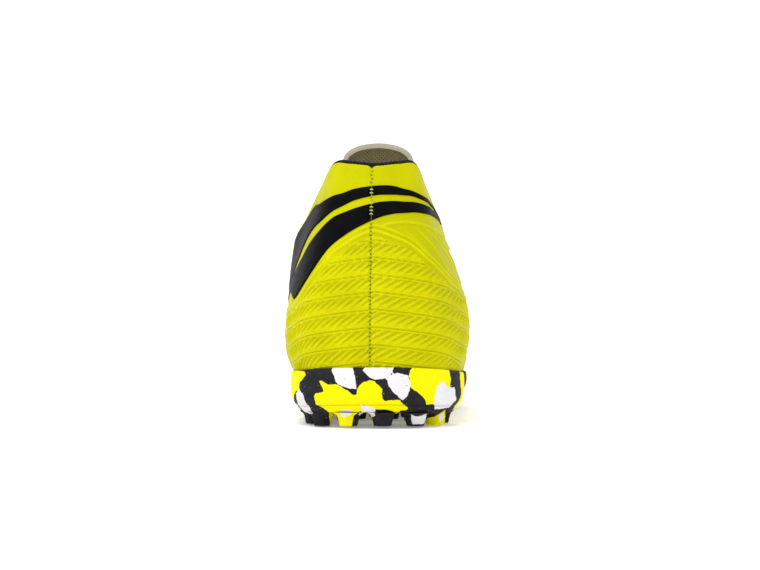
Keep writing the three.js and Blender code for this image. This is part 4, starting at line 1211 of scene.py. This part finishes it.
def tongue_surface(p, t):
    """p is a station offset below the top eyelets (negative) or a height above them in mm."""
    base = throat(TOP_EYELET - np.minimum(p, 0), t)
    h = np.maximum(p, 0)
    opening = smooth((h - LOWER_TONGUE_TOP) / RISE_LENGTH)[..., None]
    middle = throat(np.full(h.shape, float(TOP_EYELET)), 0.0)
    change = np.array([FLAP_SPREAD, -FLAP_FLATTENING, -FLAP_FLATTENING])
    base = base + (base - middle) * change * np.where(np.asarray(p)[..., None] > 0, opening, 0)
    lean = FLAP_LEAN * opening[..., 0]
    rise = np.stack([lean, np.interp(h, RISE_H, RISE_Y), np.interp(h, RISE_H, RISE_Z)], -1)
    return base + rise


def tongue_depth(p, t, depth):
    across = tongue_surface(p, t + 0.02) - tongue_surface(p, t - 0.02)
    along = tongue_surface(p + 0.05, t) - tongue_surface(p - 0.05, t)
    return tongue_surface(p, t) - unit(np.cross(along, across)) * np.asarray(depth)[..., None]


def build_tongue():
    """Tongue: a light face bound over its edge, and a mesh-lined padded flap behind it."""
    below = np.linspace(TOP_EYELET - TONGUE_BASE, -0.2, 84)
    above = np.linspace(0, 1, 64)
    t_share = np.linspace(-1, 1, 91)
    top_line = FLAP_TOP - FLAP_CROWN * t_share ** 2 - FLAP_CORNER * np.abs(t_share) ** 12
    height = above[:, None] * top_line
    p = np.concatenate([np.broadcast_to(below[:, None], (len(below), len(t_share))), height])
    width = FLAP_HALF_WIDTH + (1 - FLAP_HALF_WIDTH) * (1 - smooth(p / 5.5))
    t = t_share * width
    mm_edge = (1 - np.abs(t_share))[None, :] * HALF_WIDTH
    no_edge = np.full((len(below), len(t_share)), NO_EDGE)
    mm_top = np.concatenate([no_edge, (1 - above)[:, None] * height[-1]])
    border = np.minimum(mm_edge, mm_top)
    full = TONGUE_THICKNESS + (FLAP_THICKNESS - TONGUE_THICKNESS) * smooth((p + 1) / 9)
    crown = np.sqrt(np.clip(1 - (1 - np.clip(border / BORDER_ROUND, 0, 1)) ** 2, 0.02, 1))
    quilting = 0.25 * smooth((p - 4) / 4) * ridge(border - BINDING - 0.5, 0.8)
    front = TONGUE_DEPTH - 0.45 * smooth(p / 6) + (1 - crown) * full * 0.45 + quilting * 0.6
    back = TONGUE_DEPTH - 0.45 * smooth(p / 6) + full - (1 - crown) * full * 0.5
    back = back - 0.7 * smooth((p - 4) / 4) * smooth((border - BINDING) / 0.7) + quilting
    front_points = tongue_depth(p, t, front)
    back_points = tongue_depth(p, t, back)
    n, m = p.shape
    points = np.concatenate([front_points.reshape(-1, 3), back_points.reshape(-1, 3)])
    size = n * m
    quads = grid_quads(n, m)
    faces = [tuple(q[::-1]) for q in quads.tolist()]
    faces += [tuple(k + size for k in q) for q in quads.tolist()]
    rim = ([i * m for i in range(n)] + [(n - 1) * m + j for j in range(1, m)]
           + [i * m + m - 1 for i in range(n - 2, -1, -1)] + list(range(m - 2, 0, -1)))
    for a, b in zip(rim, rim[1:] + rim[:1]):
        faces.append((a, a + size, b + size, b))
    lay = np.stack([t * 2 * HALF_WIDTH, p], -1)
    lay = np.concatenate([lay.reshape(-1, 2)] * 2)
    piece = make("tongue_pad", points, faces, [TONGUE_FACE, TONGUE_LINING], lay=lay, body=None,
                 replaces=["tongue_lower", "tongue_flap_face", "tongue_flap_foam", "tongue_flap_lining"],
                 slot="tongue_textile")
    inner = np.repeat(False, len(faces))
    lined = border > BINDING
    cell = lined[:-1, :-1] & lined[1:, :-1] & lined[:-1, 1:] & lined[1:, 1:]
    inner[len(quads):2 * len(quads)] = cell.ravel()
    piece.data.polygons.foreach_set("material_index", inner.astype(int))
    bend_start, bend_end = (tongue_surface(np.array(p), np.array(0.0)) for p in (BEND_START, FLAP_ROOT))
    tuple(to_row(bend_start))
    tuple(to_row(bend_end))
    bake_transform(piece)


build_tongue()


# ---- Lace ----

LACE_WIDTH = 3.6
LACE_THICKNESS = 1.1
LACE_REST = 0.35
LACE_BEND = 2
OVER = -GAP - EYESTAY_THICKNESS - LACE_REST - LACE_THICKNESS / 2
UNDER = QUARTER_LINING[1] + 2 * LACE_REST + LACE_THICKNESS / 2
CROSSING = (0.5, 2.3)
EYELET_SHARE = 0.5 + 0.5 * (1 - EYELET_ROW) / TONGUE_REACH
END_STATION = 14.05
END_PATH = [(0.62, UNDER), (0.86, UNDER), (1.06, UNDER), (1.16, UNDER + 1)]
AGLET_LENGTH = 14
AGLET_RADIUS = 1.3


def throat_frame(u, t):
    across = unit(throat(u, t + 0.02) - throat(u, t - 0.02))
    up = throat(u - 0.1, t) - throat(u + 0.1, t)
    return throat(u, t), unit(np.cross(up, across)), across


def resting(u, t, depth, facing):
    point, normal, _ = throat_frame(u, t)
    return point - normal * depth, normal * facing


def eyelet_turn(u, side, facing):
    """Half turn through an eyelet, from under the quarter to over it."""
    point, normal, across = throat_frame(u, side * EYELET_SHARE)
    inward = across * -side
    places = []
    for upper in (False, True):
        for angle in np.linspace(0, math.pi / 2, 5) + (math.pi / 2 if upper else 0):
            sin, cos = math.sin(angle), math.cos(angle)
            depth = OVER + LACE_BEND * (1 + cos) if upper else UNDER - LACE_BEND * (1 - cos)
            middle = point + inward * LACE_BEND * (1 - sin) - normal * depth
            places.append((middle, (-inward * sin - normal * cos) * facing))
    return places


def strand(start_side):
    """One strand from its bottom eyelet to its end."""
    places = []
    for pair in range(EYELET_PAIRS):
        side = -start_side if pair % 2 else start_side
        facing = -1 if pair % 2 else 1
        u = eyelet_station(pair)
        following = eyelet_station(pair + 1) if pair + 1 < EYELET_PAIRS else END_STATION
        crossing = CROSSING[0 if side > 0 else 1]
        places += eyelet_turn(u, side, facing)
        for t, depth in [(0.5, OVER), (0.3, crossing), (0, crossing), (-0.3, crossing), (-0.5, UNDER)]:
            along = u + (following - u) * (0.5 - t / (2 * EYELET_SHARE))
            places.append(resting(along, t * side, depth, facing))
    last = start_side if EYELET_PAIRS % 2 else -start_side
    facing = 1 if EYELET_PAIRS % 2 else -1
    places += [resting(END_STATION, t * last, depth, facing) for t, depth in END_PATH]
    return places


def smooth_path(points, per_step):
    """Catmull-Rom curve through points."""
    keyed = np.concatenate([np.arange(len(points))[:, None], points], 1)
    return interpolate(keyed, np.linspace(0, len(points) - 1, (len(points) - 1) * per_step + 1))


def flat_section(width, thickness, count=14):
    """Cross-section of a flat woven lace, with rounded edges."""
    angle = np.linspace(0, 2 * math.pi, count, endpoint=False)
    c, s = np.cos(angle), np.sin(angle)
    sideways = np.sign(c) * np.abs(c) ** 0.6 * width / 2
    upward = np.sign(s) * np.abs(s) ** 0.7 * thickness / 2
    return np.stack([sideways, upward], 1)


def build_lace():
    bar = [resting(eyelet_station(0), t, UNDER, -1) for t in (-0.3, 0, 0.3)]
    places = strand(-1)[::-1] + bar + strand(1)
    middle = smooth_path(np.array([m for m, _ in places]), 4)
    face = unit(smooth_path(np.array([f for _, f in places]), 4))
    section = flat_section(LACE_WIDTH, LACE_THICKNESS)
    rings = tube_points(middle, face, section)
    run = np.concatenate([[0], np.cumsum(np.linalg.norm(np.diff(middle, axis=0), axis=1))])
    lay = np.stack(np.broadcast_arrays(run[:, None], section[None, :, 0]), -1)
    make("lace_ribbon", rings.reshape(-1, 3), closed_tube(rings), LACE, lay=lay,
         replaces=["lace"], slot="lace_textile")


def build_aglet(name, start_side, **how):
    """Crimped plastic tube on the end of the lace."""
    before, last = (m for m, _ in strand(start_side)[-2:])
    forward = unit(last - before)
    side = unit(np.cross(forward, (0, 0, 1)))
    up = np.cross(side, forward)
    angle = np.linspace(0, 2 * math.pi, 20, endpoint=False)
    rows = [(0, 0.8), (0.25, 1), (2, 1), (2.4, 0.93), (2.8, 1), (8, 1), (12.6, 0.95), (13.6, 0.8),
            (AGLET_LENGTH, 0.5)]
    rings = np.array([
        last + forward * (GAP + along) + AGLET_RADIUS * share
        * (side * np.cos(angle)[:, None] + up * np.sin(angle)[:, None])
        for along, share in rows])
    faces = [f[::-1] for f in closed_tube(rings)]
    make(name, rings.reshape(-1, 3), faces, AGLET, slot="aglet_plastic", **how)


build_lace()
build_aglet("aglet_tip_lateral", -1, replaces=["aglet_lateral"])
build_aglet("aglet_tip_medial", 1, replaces=["aglet_medial"])


# ---- Sewing ----

def stitch(a, b, normal_a, normal_b, thickness, sink=0.25):
    """One stitch: a short thread from a to b that dives into the surface at both ends."""
    t = np.array([0, 0.12, 0.3, 0.5, 0.7, 0.88, 1.0])
    lift = np.array([-sink, 0.35, 0.8, 0.9, 0.8, 0.35, -sink]) * thickness
    normal = normal_a + (normal_b - normal_a) * t[:, None]
    path = a + (b - a) * t[:, None] + normal * lift[:, None]
    angle = np.linspace(0, 2 * math.pi, 8, endpoint=False)
    section = np.stack([np.cos(angle), np.sin(angle)], 1) * thickness / 2
    rings = tube_points(path, normal, section)
    return rings.reshape(-1, 3), closed_tube(rings)


def sew(name, stitches, material, slot):
    points, faces = merged(stitches)
    lay = np.concatenate([np.stack([np.repeat(np.arange(7) * 0.25, 8), np.tile(np.arange(8) * 0.1, 7)], 1)
                          for _ in stitches])
    return make(name, points, faces, material, lay=lay, slot=slot)


NEON_PITCH = 1.5
PALE_PITCH = 1.4
BAND_MARGIN = 0.006  # share of the wall kept clear of pale stitches inside each band's edges


def back_seam():
    """Zigzag stitching that joins the two quarters at the heel, with pale bars on the black bands.

    Short dark threads beside each stitch stand for the needle holes as painted shade, coloured as the shade
    inside them: nothing is cut into the panel.
    """
    v = np.linspace(0.03, 0.985, 900)
    seam = wall(np.full_like(v, HEEL_SEAM), v)
    run = np.concatenate([[0], np.cumsum(np.linalg.norm(np.diff(seam, axis=0), axis=1))])
    per_mm = float(1 / np.linalg.norm(wall(HEEL_SEAM + 0.5, 0.5) - wall(HEEL_SEAM - 0.5, 0.5)))
    per_mm_up = float((v[-1] - v[0]) / run[-1])
    _, upper_top, upper_low, lower_top, lower_low = BANDS[BANDS[:, 0] == 0][0]

    def bar(share, x0, x1, z0, z1, depth, thickness, sink):
        ends = [(HEEL_SEAM - x * per_mm, share + z * per_mm_up) for x, z in ((x0, z0), (x1, z1))]
        places = [wall_depth(np.array(a), np.array(b), depth) for a, b in ends]
        normals = [wall_normal(np.array(a), np.array(b)) for a, b in ends]
        return stitch(*places, *normals, thickness, sink)

    pale, neon, holes = [], [], []
    for i, at in enumerate(np.arange(0.5, run[-1], NEON_PITCH)):
        share = float(np.interp(at, run, v))
        if not (upper_low < share < upper_top or lower_low < share < lower_top):
            way = 1 if i % 2 else -1
            neon.append(bar(share, -0.45 * way, 0.3 * way, -0.5, 0.5, 0.06, 0.34, 0.3))
            # painted shade of the needle holes beside each neon stitch
            holes.append(bar(share, 0.12 * way - 0.1, 0.12 * way + 0.1, 0.72, 0.78, 0.08, 0.36, 0.05))
            holes.append(bar(share, -0.6 * way - 0.12, -0.6 * way + 0.12, -0.56, -0.5, 0.1, 0.22, 0.05))
    for at in np.arange(0.5, run[-1], PALE_PITCH):
        share = float(np.interp(at, run, v))
        on_upper = upper_low + BAND_MARGIN < share < upper_top - BAND_MARGIN
        on_lower = lower_low + BAND_MARGIN < share < lower_top - BAND_MARGIN
        if on_upper or on_lower:
            pale.append(bar(share, -0.6, 0.6, 0, 0, -0.48, 0.46, 0.0))
    sew("back_seam_neon_thread", neon, NEON_THREAD, "upper_synthetic")
    sew("back_seam_pale_thread", pale, PALE_THREAD, "upper_synthetic")
    sew("back_seam_needle_hole_shade", holes, NEEDLE_HOLE_SHADE, "upper_synthetic")


def line_stitches(path_uv, depth, pitch, thickness):
    """Lock stitches along a line on the wall given as arrays of u and v."""
    u, v = path_uv
    surface = wall(u, v)
    run = np.concatenate([[0], np.cumsum(np.linalg.norm(np.diff(surface, axis=0), axis=1))])
    made = []
    for at in np.arange(1, run[-1] - pitch, pitch):
        ends = []
        for place in (at, at + pitch * 0.78):
            uu, vv = np.interp(place, run, u), np.interp(place, run, v)
            ends.append((wall_depth(uu, vv, depth), wall_normal(uu, vv)))
        made.append(stitch(ends[0][0], ends[1][0], ends[0][1], ends[1][1], thickness))
    return made


def panel_seams():
    """Double rows round the eyestays and single rows across the vamp's edge."""
    rows = []
    for sign in (1, -1):
        u = sign * np.linspace(TOP_EYELET - 0.8, THROAT_BASE - 0.25, 160)
        for v in (0.775, 0.79):
            rows += line_stitches((u, np.full_like(u, v)), -GAP - EYESTAY_THICKNESS, 2.4, 0.42)
        rows += line_stitches((u, np.full_like(u, 0.972)), -GAP - EYESTAY_THICKNESS, 2.4, 0.42)
        v = np.linspace(0.12, 0.74, 90)
        for at in (THROAT_BASE + 0.28, THROAT_BASE + 0.5):
            rows += line_stitches((np.full_like(v, sign * at), v), 0.02, 2.4, 0.42)
    sew("panel_seam_thread", rows, NEON_THREAD, "upper_synthetic")


back_seam()
panel_seams()


# ---- Carried-over nodes, camera, light ----

for node, material in (("strobel_board", BOARD), ("toe_puff", STIFF_SHEET), ("heel_counter", STIFF_SHEET)):
    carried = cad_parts[node]
    for slot in range(max(1, len(carried.material_slots))):
        if not carried.material_slots:
            carried.data.materials.append(material)
        carried.material_slots[slot].material = material

CAMERA_PLACE = (0.8, -405, 30)
LENS = 51.25
OBJECT_SHIFT = 2.5 / 760
HORIZON_SHIFT = 64 / 760

camera_data = bpy.data.cameras.new("camera")
camera_data.lens = LENS
camera_data.sensor_width = 36
camera_data.shift_x = OBJECT_SHIFT
camera_data.shift_y = HORIZON_SHIFT
camera_data.clip_start = 0.01
camera = bpy.data.objects.new("camera", camera_data)
camera.location = to_row(CAMERA_PLACE)
camera.rotation_euler = (math.pi / 2, 0, 0)
bpy.context.scene.collection.objects.link(camera)
bpy.context.scene.camera = camera


def backdrop():
    """Pale floor that curves up into a wall all round."""
    angle = np.linspace(0, 2 * math.pi, 97)[:-1]
    rows = [(0.0, 0.0), (1.5, 0.0)] + [
        (1.5 + 1.2 * math.sin(a), 1.2 * (1 - math.cos(a))) for a in np.linspace(0, math.pi / 2, 13)[1:]
    ] + [(2.7, 3.5)]
    points = [(0.0, 0.0, -0.0004)]
    for r, z in rows[1:]:
        points += [(r * math.cos(a), r * math.sin(a), z - 0.0004) for a in angle]
    n = len(angle)
    faces = [(0, 1 + i, 1 + (i + 1) % n) for i in range(n)]
    for k in range(len(rows) - 2):
        for i in range(n):
            j = (i + 1) % n
            faces.append((1 + k * n + i, 1 + (k + 1) * n + i, 1 + (k + 1) * n + j, 1 + k * n + j))
    mesh = bpy.data.meshes.new("backdrop")
    mesh.from_pydata(points, [], faces)
    mesh.polygons.foreach_set("use_smooth", [True] * len(mesh.polygons))
    look = Look("backdrop_paper", 0.9)
    look.colour((0.95, 0.95, 0.95, 1.0))
    look.shader.inputs["Emission Color"].default_value = (1, 1, 1, 1)
    look.shader.inputs["Emission Strength"].default_value = 0.2
    mesh.materials.append(look.material)
    piece = bpy.data.objects.new("backdrop", mesh)
    bpy.context.scene.collection.objects.link(piece)


def soft_light(name, place, size, power, colour=(1, 1, 1)):
    data = bpy.data.lights.new(name, "AREA")
    data.shape = "DISK"
    data.size = size
    data.energy = power
    data.color = colour
    lamp = bpy.data.objects.new(name, data)
    lamp.location = place
    lamp.rotation_euler = (-Vector(place) + Vector((0, 0, 0.06))).to_track_quat("-Z", "Y").to_euler()
    bpy.context.scene.collection.objects.link(lamp)


backdrop()
soft_light("key_above", (-0.4, -0.8, 1.7), 1.1, 19)
soft_light("fill_left", (-1.3, -0.9, 0.5), 1.0, 1.2)
soft_light("rim_front", (0.3, 1.6, 1.5), 1.2, 10)

world = bpy.data.worlds.new("studio")
world.use_nodes = True
sky = next(n for n in world.node_tree.nodes if n.type == "BACKGROUND")
sky.inputs["Color"].default_value = (1, 1, 1, 1)
sky.inputs["Strength"].default_value = 0.55
bpy.context.scene.world = world
bpy.context.scene.view_settings.view_transform = "Standard"
